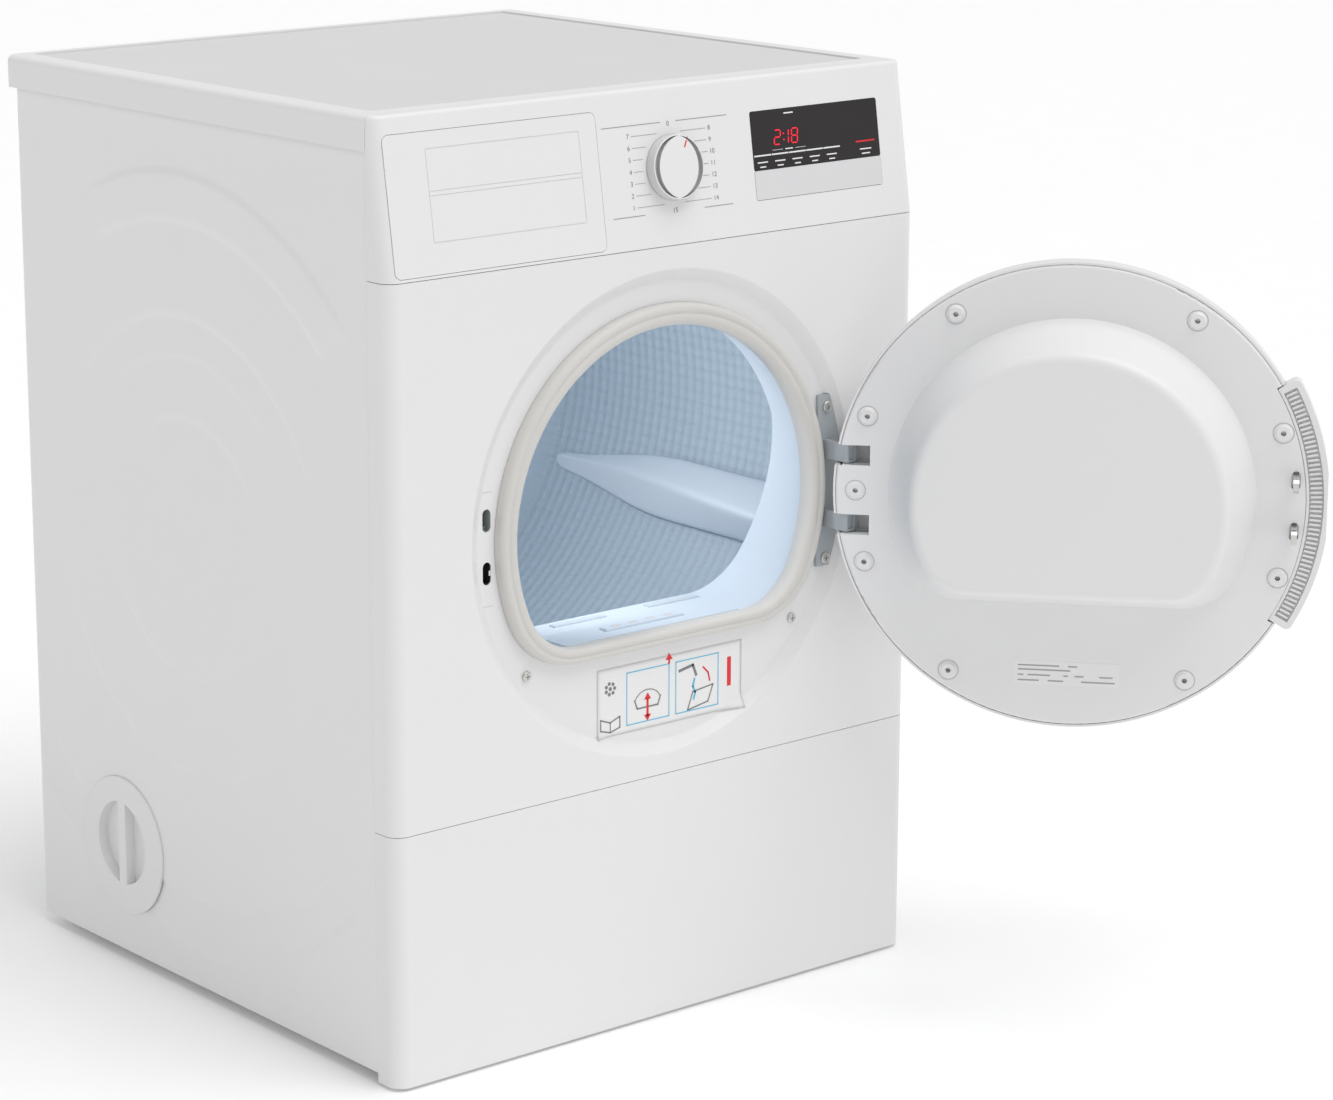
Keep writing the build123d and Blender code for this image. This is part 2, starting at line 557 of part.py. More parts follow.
def build_handle():
    """The grip: a crescent beyond the door's edge, with a shallow pocket on the side of the fingertips."""
    deep = DOOR_FACE - DOOR_WALL
    shape = rod_y(OPEN_X, OPEN_Z, HANDLE_OUT, deep + 0.3, DOOR_FACE - 1.5)
    shape -= rod_y(OPEN_X, OPEN_Z, HANDLE_IN, deep - 1, DOOR_FACE + 1)
    shape &= handle_wedge(HANDLE_HALF, deep - 1, DOOR_FACE + 1)
    corners = shape.edges().filter_by(Axis.Y).filter_by(
        lambda e: math.hypot(e.center().X - OPEN_X, e.center().Z - OPEN_Z) > HANDLE_OUT - 1
    )
    shape = fillet(corners, 5.0)
    pocket = rod_y(OPEN_X, OPEN_Z, HANDLE_OUT - 5.0, DOOR_FACE - 6.0, DOOR_FACE + 1)
    pocket -= rod_y(OPEN_X, OPEN_Z, HANDLE_IN + 2.5, deep, DOOR_FACE + 2)
    shape -= pocket & handle_wedge(HANDLE_HALF - 1.6, deep, DOOR_FACE + 2)
    parts["door_handle"] = opened(shape)


def build_door_fittings():
    back = DOOR_FACE - DOOR_WALL + 2.0
    screws = None
    for turn in BOSS_ANGLES:
        x, z = polar(BOSS_RING if turn else MIDDLE_BOSS, turn, OPEN_X, OPEN_Z)
        one = rod_y(x, z, 2.3, back - 3 if turn else DOOR_FACE - 7, DOOR_FACE - 4.0)
        one -= block(x - 0.9, x + 0.9, DOOR_FACE - 5.2, DOOR_FACE - 3, z - 0.9, z + 0.9)
        screws = one if screws is None else screws + one
    parts["door_screws"] = opened(screws)

    hooks = None
    tip = DISH_DEPTH + 14.5
    for side in (-1, 1):
        x, z = LATCH_X, OPEN_Z + side * HOOK_V
        plate = block(x - 2.5, x + 2.5, DOOR_FACE - 6, tip, z - 6, z + 6)
        plate += block(x - 6, x + 6, DOOR_FACE - 8, DOOR_FACE - 6, z - 9, z + 9)
        corner = plate.edges().filter_by(Axis.X).group_by(Axis.Y)[-1]
        plate = chamfer(corner, 2.5)
        low = (z - 7, z - 1.8) if side > 0 else (z + 1.8, z + 7)
        plate -= block(x - 3, x + 3, DISH_DEPTH + 6.6, DISH_DEPTH + 11.8, *low)
        hooks = plate if hooks is None else hooks + plate
    parts["door_hooks"] = opened(hooks)

    leaf = block(146, NOTCH_X - 1, DOOR_FACE - PLASTIC - 5.2, DOOR_FACE - PLASTIC - 0.4, OPEN_Z - 56, OPEN_Z + 56)
    gap_low = ARM_V - ARM_H / 2 - 0.6
    gap_high = ARM_V + ARM_H / 2 + 0.6
    reach = 50.0
    for z0, z1 in ((-gap_low + 0.4, gap_low - 0.4), (gap_high + 0.4, reach), (-reach, -gap_high - 0.4)):
        eye = rod_z(HINGE_X, HINGE_D, 5.6, OPEN_Z + z0, OPEN_Z + z1)
        web = block(NOTCH_X - 12, HINGE_X, HINGE_D - 2.5, HINGE_D + 4.5, OPEN_Z + z0, OPEN_Z + z1)
        riser = block(NOTCH_X - 12, NOTCH_X - 5, HINGE_D, DOOR_FACE - 7, OPEN_Z + z0, OPEN_Z + z1)
        leaf += eye + web + riser
    tab = (OPEN_Z - gap_low + 0.4, OPEN_Z + gap_low - 0.4)
    leaf += block(NOTCH_X - 5, HINGE_X, DOOR_FACE - PLASTIC - 5.2, DOOR_FACE - PLASTIC - 0.4, *tab)
    leaf -= rod_z(HINGE_X, HINGE_D, PIN_R, OPEN_Z - 60, OPEN_Z + 60)
    leaf -= rod_y(OPEN_X + MIDDLE_BOSS, OPEN_Z, 2.4, DOOR_FACE - 9, DOOR_FACE)
    parts["hinge_leaf"] = opened(leaf)
    pin = rod_z(HINGE_X, HINGE_D, PIN_R, OPEN_Z - 49, OPEN_Z + 49)
    parts["hinge_pin"] = opened(pin)


def build_hinge():
    """The plate screwed beside the seal and its two gooseneck arms, which carry the hinge pin."""
    floor = DISH_DEPTH
    plate = slab(hinge_plate_outline(), floor - 3.2, floor - 0.1)
    stem = (HINGE_X - 10.6, HINGE_X - 5.6)
    arms = None
    for side in (-1, 1):
        z = OPEN_Z + side * ARM_V
        z0, z1 = z - ARM_H / 2, z + ARM_H / 2
        neck = block(*stem, HINGE_D - 6.5, floor - 1.0, z0, z1)
        neck += block(stem[0], HINGE_X, HINGE_D - 6.0, HINGE_D, z0, z1)
        neck = fillet(neck.edges().filter_by(Axis.Z).group_by(Axis.Y)[0].sort_by(Axis.X)[0], 2.0)
        arm = neck + rod_z(HINGE_X, HINGE_D, 6.0, z0, z1)
        arm -= block(stem[0] + 3.0, HINGE_X - 1.0, HINGE_D - 8, HINGE_D - 4.4, z0 + 2.2, z1 - 2.2)
        arm -= rod_z(HINGE_X, HINGE_D, PIN_R + RUN, z0 - 1, z1 + 1)
        arms = arm if arms is None else arms + arm
    bracket = plate + arms
    for z in (OPEN_Z + HINGE_SCREW[1], OPEN_Z - HINGE_SCREW[1]):
        bracket -= rod_y(HINGE_SCREW[0], z, 2.2, 0, floor + 1)
    parts["hinge_bracket"] = bracket


# ---- drum front: shield, glide, lint filter ----
def build_shield():
    wall = 2.5
    disc = rod_y(0, DRUM_Z, 291, SHIELD_PLATE, SHIELD_PLATE + wall)
    disc &= block(-296, 296, SHIELD_PLATE - 1, SHIELD_PLATE + 5, 200, 800)
    collar = rod_y(0, DRUM_Z, 279, SHIELD_PLATE, SHIELD_PLATE + 30)
    collar -= rod_y(0, DRUM_Z, 279 - wall, SHIELD_PLATE - 1, SHIELD_PLATE + 40)
    tube = slab(d_outline(*grown(TUNNEL, wall)), 15.4, HOOD_DEEP)
    slope = [
        (FRONT + SHIELD_PLATE + 8, OPEN_Z + 60),
        (FRONT + HOOD_DEEP - 4, SHIELD_FLOOR - 20),
        (FRONT + HOOD_DEEP + 60, SHIELD_FLOOR - 20),
        (FRONT + HOOD_DEEP + 60, OPEN_Z + 250),
        (FRONT + SHIELD_PLATE + 8, OPEN_Z + 250),
    ]
    tube -= extrude(Plane.YZ * make_face(Polyline(*slope, close=True)), 300, both=True)
    flange = slab(d_outline(*grown(TUNNEL, 5.5)), 15.4, 18.0)
    shell = disc + collar + tube + flange
    shell -= slab(d_outline(*TUNNEL), 10, HOOD_DEEP + 10)
    x0, x1 = OPEN_X - FILTER_HALF, OPEN_X + FILTER_HALF
    d0, d1 = FILTER_D
    pocket = block(x0 - 3, x1 + 3, d0 - 3, d1 + 3, FILTER_LOW - 4, SHIELD_FLOOR)
    shell += pocket
    shell -= block(x0 - 0.6, x1 + 0.6, d0 - 0.6, d1 + 0.6, FILTER_LOW - 10, SHIELD_FLOOR + 5)
    lamp_z = OPEN_Z + TUNNEL[0]
    shell -= block(OPEN_X - 14.2, OPEN_X + 14.2, 23.8, 40.2, lamp_z - 3, lamp_z + 15)
    shell += block(x0 - 1, x0 + 8, d0 - 1, d1 + 1, FILTER_LOW - 4, FILTER_LOW - 0.6)
    shell += block(x1 - 8, x1 + 1, d0 - 1, d1 + 1, FILTER_LOW - 4, FILTER_LOW - 0.6)
    parts["front_shield"] = shell

    felt = rod_y(0, DRUM_Z, DRUM_R - 1.0 - 0.3, DRUM_FRONT + 1, SHIELD_PLATE + 29)
    felt -= rod_y(0, DRUM_Z, 279, DRUM_FRONT, SHIELD_PLATE + 31)
    rear = rod_y(0, DRUM_Z, 216.5, DRUM_REAR + 0.4, DRUM_REAR + 12)
    rear -= rod_y(0, DRUM_Z, 205, DRUM_REAR - 1, DRUM_REAR + 13)
    parts["drum_felts"] = felt + rear

    strips = None
    for x in (-60, 50):
        metal = block(x, x + 60, 80, 88, SHIELD_FLOOR, SHIELD_FLOOR + 1.4)
        strips = metal if strips is None else strips + metal
    parts["moisture_sensors"] = strips
    lamp = block(OPEN_X - 14, OPEN_X + 14, 24, 40, lamp_z - 2.0, lamp_z + 14)
    lamp -= block(OPEN_X - 12, OPEN_X + 12, 26, 38, lamp_z - 0.6, lamp_z + 12)
    parts["drum_lamp"] = lamp


def build_filter():
    x0, x1 = OPEN_X - FILTER_HALF, OPEN_X + FILTER_HALF
    d0, d1 = FILTER_D
    frame = block(x0, x1, d0, d1, FILTER_LOW, SHIELD_FLOOR - 0.4)
    frame = fillet(frame.edges().filter_by(Axis.Y).group_by(Axis.Z)[0], 6.0)
    mid = (d0 + d1) / 2
    for face in (-1, 1):
        for i in range(3):
            w = (2 * FILTER_HALF - 32) / 3
            wx = x0 + 8 + i * (w + 8)
            deep = (d0 - 1, mid - 0.8) if face < 0 else (mid + 0.8, d1 + 1)
            frame -= block(wx, wx + w, *deep, FILTER_LOW + 8, SHIELD_FLOOR - 14)
    rim = block(x0 - 5, x1 + 5, d0 - 5, d1 + 5, SHIELD_FLOOR + 0.4, SHIELD_FLOOR + 3.4)
    rim = fillet(rim.edges().filter_by(Axis.Z), 6.0)
    neck = block(x0, x1, d0, d1, SHIELD_FLOOR - 0.5, SHIELD_FLOOR + 0.5)
    grip = block(OPEN_X - 45, OPEN_X + 45, d0 + 9, d1 - 9, SHIELD_FLOOR + 3.3, SHIELD_FLOOR + 6)
    grip = fillet(grip.edges().group_by(Axis.Z)[-1], 1.2)
    parts["lint_filter"] = frame + rim + neck + grip


def build_air_channel():
    """The duct from the lint filter's pocket down to the fan's inlet."""
    wall = 2.0
    d0, d_top, d_low = WRAP + 0.8, SHIELD_PLATE - 0.6, 68.0
    high, knee, low = FILTER_LOW - 4.4, 204.0, 62.0
    x0, x_knee, x1 = OPEN_X - FILTER_HALF, 24.0, 175.0
    outer = block(x0, x1, d0, d_top, knee - 30, high) + block(x_knee, x1, d0, d_low, low, knee)
    inner = block(x0 + wall, x1 - wall, d0 + wall, d_top - wall, knee - 30 + wall, high + 1)
    inner += block(x_knee + wall, x1 - wall, d0 + wall, d_low - wall, low + wall, knee - wall)
    duct = outer - inner
    duct -= rod_y(MOTOR_X, MOTOR_Z, 44, d_low - 4, d_low + 1)
    parts["air_channel"] = duct


# ---- drum ----
def build_drum():
    skin = 1.0
    shell = rod_y(0, DRUM_Z, DRUM_R, DRUM_FRONT, DRUM_REAR)
    shell -= rod_y(0, DRUM_Z, DRUM_R - skin, DRUM_FRONT - 1, DRUM_REAR + 1)
    parts["drum_shell"] = shell
    wall = rod_y(0, DRUM_Z, DRUM_R - skin, DRUM_REAR - 14, DRUM_REAR)
    wall -= rod_y(0, DRUM_Z, DRUM_R - 2 * skin, DRUM_REAR - 15, DRUM_REAR - skin)
    wall += rod_y(0, DRUM_Z, 200, DRUM_REAR - 8, DRUM_REAR)
    wall -= rod_y(0, DRUM_Z, 199, DRUM_REAR - 7, DRUM_REAR + 1)
    for ring, radius in enumerate(range(84, 190, 26)):
        count = int(radius / 7)
        holes = PolarLocations(radius, count, start_angle=ring * 7) * Circle(5.0)
        wall -= [slab(Pos(0, DRUM_Z) * hole, DRUM_REAR - 9, DRUM_REAR + 1) for hole in holes]
    parts["drum_rear_wall"] = wall

    paddles = None
    for i in range(3):
        section = [(-34, 2), (34, 2), (12, -46), (0, -50), (-12, -46)]
        rear = [(-26, 2), (26, 2), (8, -20), (0, -22), (-8, -20)]
        front_face = facing(DRUM_FRONT + 46) * (Pos(0, -DRUM_R + 9) * Rot(0, 0, 180) * closed(section))
        rear_face = facing(DRUM_REAR - 15) * (Pos(0, -DRUM_R + 9) * Rot(0, 0, 180) * closed(rear))
        paddle = Pos(0, 0, DRUM_Z) * loft([front_face, rear_face], ruled=True)
        inside = rod_y(0, DRUM_Z, DRUM_R - skin - 0.1, DRUM_FRONT, DRUM_REAR)
        paddle = paddle & inside
        axis = Axis((0, 0, DRUM_Z), (0, -1, 0))
        paddle = paddle.rotate(axis, 90 + LIFTER_START + 120 * i)
        paddles = paddle if paddles is None else paddles + paddle
    parts["drum_lifters"] = paddles

    spindle = rod_y(0, DRUM_Z, 12.5, DRUM_REAR, REAR_PANEL - 6)
    spindle += rod_y(0, DRUM_Z, 45, DRUM_REAR - 7, DRUM_REAR + 4)
    parts["drum_spindle"] = spindle


def closed(points):
    return make_face(Polyline(*points, close=True))


def roller_spot(side):
    reach = DRUM_R + ROLLER_R + 0.3
    turn = math.radians(ROLLER_SPREAD)
    return side * reach * math.sin(turn), DRUM_Z - reach * math.cos(turn)


def build_rollers():
    studs = []
    for side, name in ((-1, "left"), (1, "right")):
        x, z = roller_spot(side)
        wheel = rod_y(x, z, ROLLER_R, 62, 82)
        wheel = fillet(wheel.edges(), 1.5)
        wheel -= rod_y(x, z, 5.0 + RUN, 60, 84)
        parts[f"support_roller_{name}"] = wheel
        stud = rod_y(x, z, 5.0, 60.2, 86)
        stud += rod_y(x, z, 12.0, SHIELD_PLATE + 2.6, 60.2) + rod_y(x, z, 8.0, 82.6, 86)
        studs.append(stud)
    parts["roller_axles"] = studs[0] + studs[1]


# ---- drive ----
def build_drive():
    body = rod_y(MOTOR_X, MOTOR_Z, MOTOR_R, 168, 268)
    body = fillet(body.edges(), 5.0)
    body += rod_y(MOTOR_X, MOTOR_Z, 22, 162, 274)
    body -= rod_y(MOTOR_X, MOTOR_Z, 6.0 + RUN, 150, 290)
    parts["motor"] = body

    shaft = rod_y(MOTOR_X, MOTOR_Z, 6.0, 96, BELT_D + 16)
    shaft += rod_y(MOTOR_X, MOTOR_Z, PULLEY_R, BELT_D - 2, BELT_D + BELT_W + 2)
    shaft += rod_y(MOTOR_X, MOTOR_Z, PULLEY_R + 3, BELT_D - 4, BELT_D - 2)
    parts["motor_shaft"] = shaft

    wheel = rod_y(MOTOR_X, MOTOR_Z, 68, 132, 135)
    wheel += rod_y(MOTOR_X, MOTOR_Z, 12, 92, 135)
    blades = 24
    for i in range(blades):
        blade = block(50, 68, 86, 134, -0.9, 0.9)
        blade = blade.rotate(Axis.Y, 360 / blades * i)
        wheel += Pos(MOTOR_X, 0, MOTOR_Z) * blade
    ring = rod_y(MOTOR_X, MOTOR_Z, 68, 84, 87) - rod_y(MOTOR_X, MOTOR_Z, 50, 83, 88)
    wheel += ring
    wheel -= rod_y(MOTOR_X, MOTOR_Z, 6.0, 80, 150)
    parts["fan_wheel"] = wheel

    outer = rod_y(MOTOR_X, MOTOR_Z, 90, 70, 152) + block(18, MOTOR_X, 70, 152, MOTOR_Z - 46, MOTOR_Z + 54)
    inner = rod_y(MOTOR_X, MOTOR_Z, 87.5, 72.5, 149.5)
    inner += block(20.5, MOTOR_X, 72.5, 149.5, MOTOR_Z - 43.5, MOTOR_Z + 51.5)
    house = outer - inner
    house -= rod_y(MOTOR_X, MOTOR_Z, 44, 69, 74)
    house -= rod_y(MOTOR_X, MOTOR_Z, 9, 148, 154)
    house -= rod_x(112, DUCT_Z, DUCT_R - 4, 15, 22)
    parts["fan_housing"] = house

    loop = make_hull(
        (Pos(0, DRUM_Z) * Circle(DRUM_R + 0.5 + BELT_T)).edges()
        + (Pos(MOTOR_X, MOTOR_Z) * Circle(PULLEY_R + 0.3 + BELT_T)).edges()
    )
    hole = make_hull(
        (Pos(0, DRUM_Z) * Circle(DRUM_R + 0.5)).edges() + (Pos(MOTOR_X, MOTOR_Z) * Circle(PULLEY_R + 0.3)).edges()
    )
    belt = slab(loop, BELT_D, BELT_D + BELT_W) - slab(hole, BELT_D - 1, BELT_D + BELT_W + 1)
    parts["drive_belt"] = belt

    cradle = block(MOTOR_X - 62, MOTOR_X + 62, 172, 264, 17.2, 22)
    for d in (172, 258):
        cradle += block(MOTOR_X - 50, MOTOR_X + 50, d, d + 6, 17.2, 84)
    cradle -= rod_y(MOTOR_X, MOTOR_Z, MOTOR_R + 0.2, 150, 290)
    px, pz = ARM_PIVOT
    d0 = BELT_D + BELT_W + 2
    cradle += block(px - 20, MOTOR_X - 40, 240, d0 + 50, 17.2, 22)
    cradle += block(px - 20, px + 20, d0 + 26, d0 + 50, 17.2, pz + 16)
    cradle += rod_y(px, pz, 5.0, d0 - 6, d0 + 26) + rod_y(px, pz, 9.0, d0 - 8, d0 - 2)
    parts["motor_cradle"] = cradle

    can = rod_y(210, 60, 18, 180, 250)
    can = fillet(can.edges(), 1.5)
    parts["capacitor"] = can + block(190, 230, 196, 226, 17.2, 50)


def idler_spot():
    """The idler presses on the outside of the belt's long run, close to the motor pulley."""
    along = math.hypot(MOTOR_X, DRUM_Z - MOTOR_Z)
    spread = math.asin((DRUM_R - PULLEY_R) / along)
    run = math.atan2(DRUM_Z - MOTOR_Z, -MOTOR_X) + spread
    out = run + math.pi / 2
    start_r = PULLEY_R + 0.3 + BELT_T
    reach = 105.0
    lift = start_r + IDLER_R + 0.3
    x = MOTOR_X + reach * math.cos(run) + lift * math.cos(out)
    z = MOTOR_Z + reach * math.sin(run) + lift * math.sin(out)
    return x, z


def build_idler():
    x, z = idler_spot()
    px, pz = ARM_PIVOT
    pulley = rod_y(x, z, IDLER_R, BELT_D - 1, BELT_D + BELT_W + 1)
    pulley -= rod_y(x, z, 4.0 + RUN, BELT_D - 3, BELT_D + BELT_W + 3)
    parts["idler_pulley"] = pulley
    d0 = BELT_D + BELT_W + 2
    bar = make_hull((Pos(x, z) * Circle(9)).edges() + (Pos(px, pz) * Circle(12)).edges())
    arm = slab(bar, d0, d0 + 4) + rod_y(x, z, 4.0, BELT_D - 4, d0 + 1) + rod_y(x, z, 7.0, BELT_D - 6, BELT_D - 2)
    arm += rod_y(px, pz, 12, d0, d0 + 24)
    arm -= rod_y(px, pz, 5.0 + RUN, d0 - 1, d0 + 26)
    parts["tension_arm"] = arm


def build_duct():
    """The rear run with its spigot, the branch from the fan and the branch to the side opening."""
    fan_d = 112.0
    flange = REAR_PANEL + SHEET + 0.3
    bore = DUCT_R - 3.5

    def run(radius, ends):
        tube = rod_y(DUCT_X, DUCT_Z, radius, fan_d - radius - 4, flange + ends)
        tube += rod_x(fan_d, DUCT_Z, radius - 4, DUCT_X, 17.6 + ends)
        tube += rod_x(CAP_D, DUCT_Z, radius - 4, -HALF + 16 - ends, DUCT_X)
        return tube

    duct = run(bore + 2.0, 0)
    duct += rod_y(DUCT_X, DUCT_Z, DUCT_R + 5, flange, flange + 2)
    duct += rod_y(DUCT_X, DUCT_Z, DUCT_R, flange + 2, DEPTH)
    duct -= run(bore, 2)
    duct -= rod_y(DUCT_X, DUCT_Z, bore, flange, DEPTH + 2)
    parts["exhaust_duct"] = duct


# ---- base and feet ----
def build_base():
    tray = block(-294, 294, 31, 562, 14, 48) - block(-291, 291, 34, 559, 17, 49)
    for x in (-FOOT_X, FOOT_X):
        for d in FOOT_D:
            tray += rod_z(x, d, 13, 14, 48)
            tray -= rod_z(x, d, 6.3, 13, 44)
    tray -= block(-60, 20, 380, 520, 13, 18)
    for i in range(9):
        x = -60 + 10 * i
        tray += block(x - 1.5, x + 1.5, 380, 520, 14, 17)
    parts["base_tray"] = tray
    for x, side in ((-FOOT_X, "left"), (FOOT_X, "right")):
        for d, end in zip(FOOT_D, ("front", "rear")):
            pad = rod_z(x, d, 20, 0, 9)
            pad = fillet(pad.edges().group_by(Axis.Z)[-1], 3.0)
            pad += rod_z(x, d, 10, 9, 13)
            pad += rod_z(x, d, 6.0, 13, 42)
            parts[f"foot_{end}_{side}"] = pad


def write_all():
    os.makedirs("parts", exist_ok=True)
    for name, solid in parts.items():
        export_step(solid if isinstance(solid, Compound) else Compound([solid]), f"parts/{name}.step")
    print(len(parts), "nodes")


build_fascia()
build_knob()
build_worktop()
build_side(-1, "side_panel_left")
build_side(1, "side_panel_right")
build_cap()
build_rear()
build_front_panel()
build_seal()
build_latch()
build_door_inner()
build_door_outer()
build_handle()
build_door_fittings()
build_hinge()
build_shield()
build_filter()
build_air_channel()
build_drum()
build_rollers()
build_drive()
build_idler()
build_duct()
build_base()
write_all()
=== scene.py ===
import json
import math

import bmesh
import bpy
from mathutils import Matrix, Vector


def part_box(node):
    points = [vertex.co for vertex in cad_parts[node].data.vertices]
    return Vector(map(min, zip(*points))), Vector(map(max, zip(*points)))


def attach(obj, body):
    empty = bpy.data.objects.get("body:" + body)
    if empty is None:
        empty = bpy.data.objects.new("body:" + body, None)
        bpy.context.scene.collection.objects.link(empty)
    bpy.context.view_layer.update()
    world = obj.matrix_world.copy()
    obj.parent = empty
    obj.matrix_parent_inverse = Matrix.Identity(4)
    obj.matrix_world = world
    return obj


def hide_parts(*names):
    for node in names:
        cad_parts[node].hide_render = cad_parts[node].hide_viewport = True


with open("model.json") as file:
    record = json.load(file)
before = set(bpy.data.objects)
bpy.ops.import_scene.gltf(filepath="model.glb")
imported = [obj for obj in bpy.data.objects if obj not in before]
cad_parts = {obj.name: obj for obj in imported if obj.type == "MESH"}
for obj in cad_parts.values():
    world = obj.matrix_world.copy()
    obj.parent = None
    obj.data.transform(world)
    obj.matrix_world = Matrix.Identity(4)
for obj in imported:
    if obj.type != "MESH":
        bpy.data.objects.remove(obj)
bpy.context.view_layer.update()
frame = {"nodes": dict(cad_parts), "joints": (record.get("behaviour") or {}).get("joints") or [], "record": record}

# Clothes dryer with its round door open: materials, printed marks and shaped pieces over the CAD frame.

MM = 0.001
NODES = frame["nodes"]

# ---- places, from the frame ----
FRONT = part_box("front_panel")[0].y
SEAL_LOW, SEAL_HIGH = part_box("door_seal")
OPEN_X = (SEAL_LOW.x + SEAL_HIGH.x) / 2 / MM
SEAL_R = (SEAL_HIGH.x - SEAL_LOW.x) / 2 / MM
OPEN_Z = SEAL_HIGH.z / MM - SEAL_R
DRUM_LOW, DRUM_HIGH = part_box("drum_shell")
DRUM_Z = (DRUM_LOW.z + DRUM_HIGH.z) / 2 / MM
DRUM_R = (DRUM_HIGH.x - DRUM_LOW.x) / 2 / MM
FASCIA_LOW, FASCIA_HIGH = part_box("control_fascia")
FASCIA_Z = FASCIA_LOW.z / MM
RISE = (FASCIA_HIGH.z - FASCIA_LOW.z) / MM
FASCIA_BACK = 20.7                 # how far the fascia's top leans back
JOINTS = {joint["name"]: joint for joint in frame["joints"]}
HINGE = Vector(JOINTS["door_hinge"]["pos_m"])
OPENED = math.radians(-JOINTS["door_hinge"]["range_deg"][0])
DOOR_FACE = -4.0                   # depth of the closed door's inner face
KNOB_X, KNOB_V, KNOB_TOP = 14.6, 66.8, 10.4    # the knob's centre on the fascia, and its height over it
DISH_RIM, DISH_FLOOR, DISH_DEPTH = 218.0, 207.0, 8.0     # radii and depth of the door's round seat
PRESS_D, PRESS_Z = 308.0, 425.0    # centre of the side panel's pressed rings
BOSS_TURNS = (57.2, 122.8, 160.3, 199.7, 237.2, 302.8, 20.6, 340.3)    # the door's screws, in degrees
BOSS_RING, MIDDLE_BOSS = 195.0, 192.5          # how far out they stand, and the one between the hinge arms
LATCH_RISE = 23.2                  # the latch slots' height over and under the opening's centre
ARM_RISE = 32.0                    # the same for the hinge arms


def at(x, depth, z):
    """A point in millimetres: across, behind the front panel, up from the floor."""
    return Vector((x * MM, FRONT + depth * MM, z * MM))


def on_door(x, depth, z):
    """The same for a point of the closed door, carried round to where the door stands."""
    return HINGE + Matrix.Rotation(OPENED, 3, "Z") @ (at(x, depth, z) - HINGE)


def on_front(depth):
    """A place function for marks that lie at one depth: across, up, and out towards the user."""
    return lambda x, z, lift=0.0: at(x, depth - lift, z)


def on_inner_door(x, z, lift=0.0):
    return on_door(x, DOOR_FACE + lift, z)


def on_fascia(x, v, lift=0.0):
    """Across, up the sloping fascia, and out of it."""
    slope = math.hypot(FASCIA_BACK, RISE)
    back, up = FASCIA_BACK / slope, RISE / slope
    return at(x, v * back - lift * up, FASCIA_Z + v * up + lift * back)


# ---- materials ----
def surface(name, colour, rough, metal=0.0, grain=0.0, grain_size=1.0, mottle=0.04, coat=0.0, sheen=0.0):
    """A moulded, painted or rolled surface: mottled colour, uneven gloss and a fine relief."""
    mat = bpy.data.materials.new(name)
    mat.use_nodes = True
    nodes, links = mat.node_tree.nodes, mat.node_tree.links
    shader = nodes["Principled BSDF"]
    shader.inputs["Metallic"].default_value = metal
    shader.inputs["Coat Weight"].default_value = coat
    shader.inputs["Coat Roughness"].default_value = 0.12
    shader.inputs["Sheen Weight"].default_value = sheen
    place = nodes.new("ShaderNodeTexCoord")
    cloud = nodes.new("ShaderNodeTexNoise")
    cloud.inputs["Scale"].default_value = 14.0
    cloud.inputs["Detail"].default_value = 4.0
    links.new(place.outputs["Object"], cloud.inputs["Vector"])
    tint = nodes.new("ShaderNodeMix")
    tint.data_type = "RGBA"
    tint.inputs["A"].default_value = (*[c * (1 - mottle) for c in colour], 1)
    tint.inputs["B"].default_value = (*[min(1.0, c * (1 + mottle)) for c in colour], 1)
    links.new(cloud.outputs["Fac"], tint.inputs["Factor"])
    links.new(tint.outputs["Result"], shader.inputs["Base Color"])
    gloss = nodes.new("ShaderNodeMapRange")
    gloss.inputs["To Min"].default_value = rough * 0.88
    gloss.inputs["To Max"].default_value = rough * 1.12
    links.new(cloud.outputs["Fac"], gloss.inputs["Value"])
    links.new(gloss.outputs["Result"], shader.inputs["Roughness"])
    relief = nodes.new("ShaderNodeTexNoise")
    relief.inputs["Scale"].default_value = 1000.0 / grain_size
    relief.inputs["Detail"].default_value = 3.0
    links.new(place.outputs["Object"], relief.inputs["Vector"])
    bump = nodes.new("ShaderNodeBump")
    bump.inputs["Strength"].default_value = grain
    bump.inputs["Distance"].default_value = 0.0004
    links.new(relief.outputs["Fac"], bump.inputs["Height"])
    links.new(bump.outputs["Normal"], shader.inputs["Normal"])
    return mat


def formula(nodes, links, operation, first, second=None):
    """One Math node; its inputs are sockets or numbers."""
    node = nodes.new("ShaderNodeMath")
    node.operation = operation
    for socket, value in zip(node.inputs, (first, second)):
        if value is None:
            continue
        if isinstance(value, (int, float)):
            socket.default_value = value
        else:
            links.new(value, socket)
    return node.outputs[0]


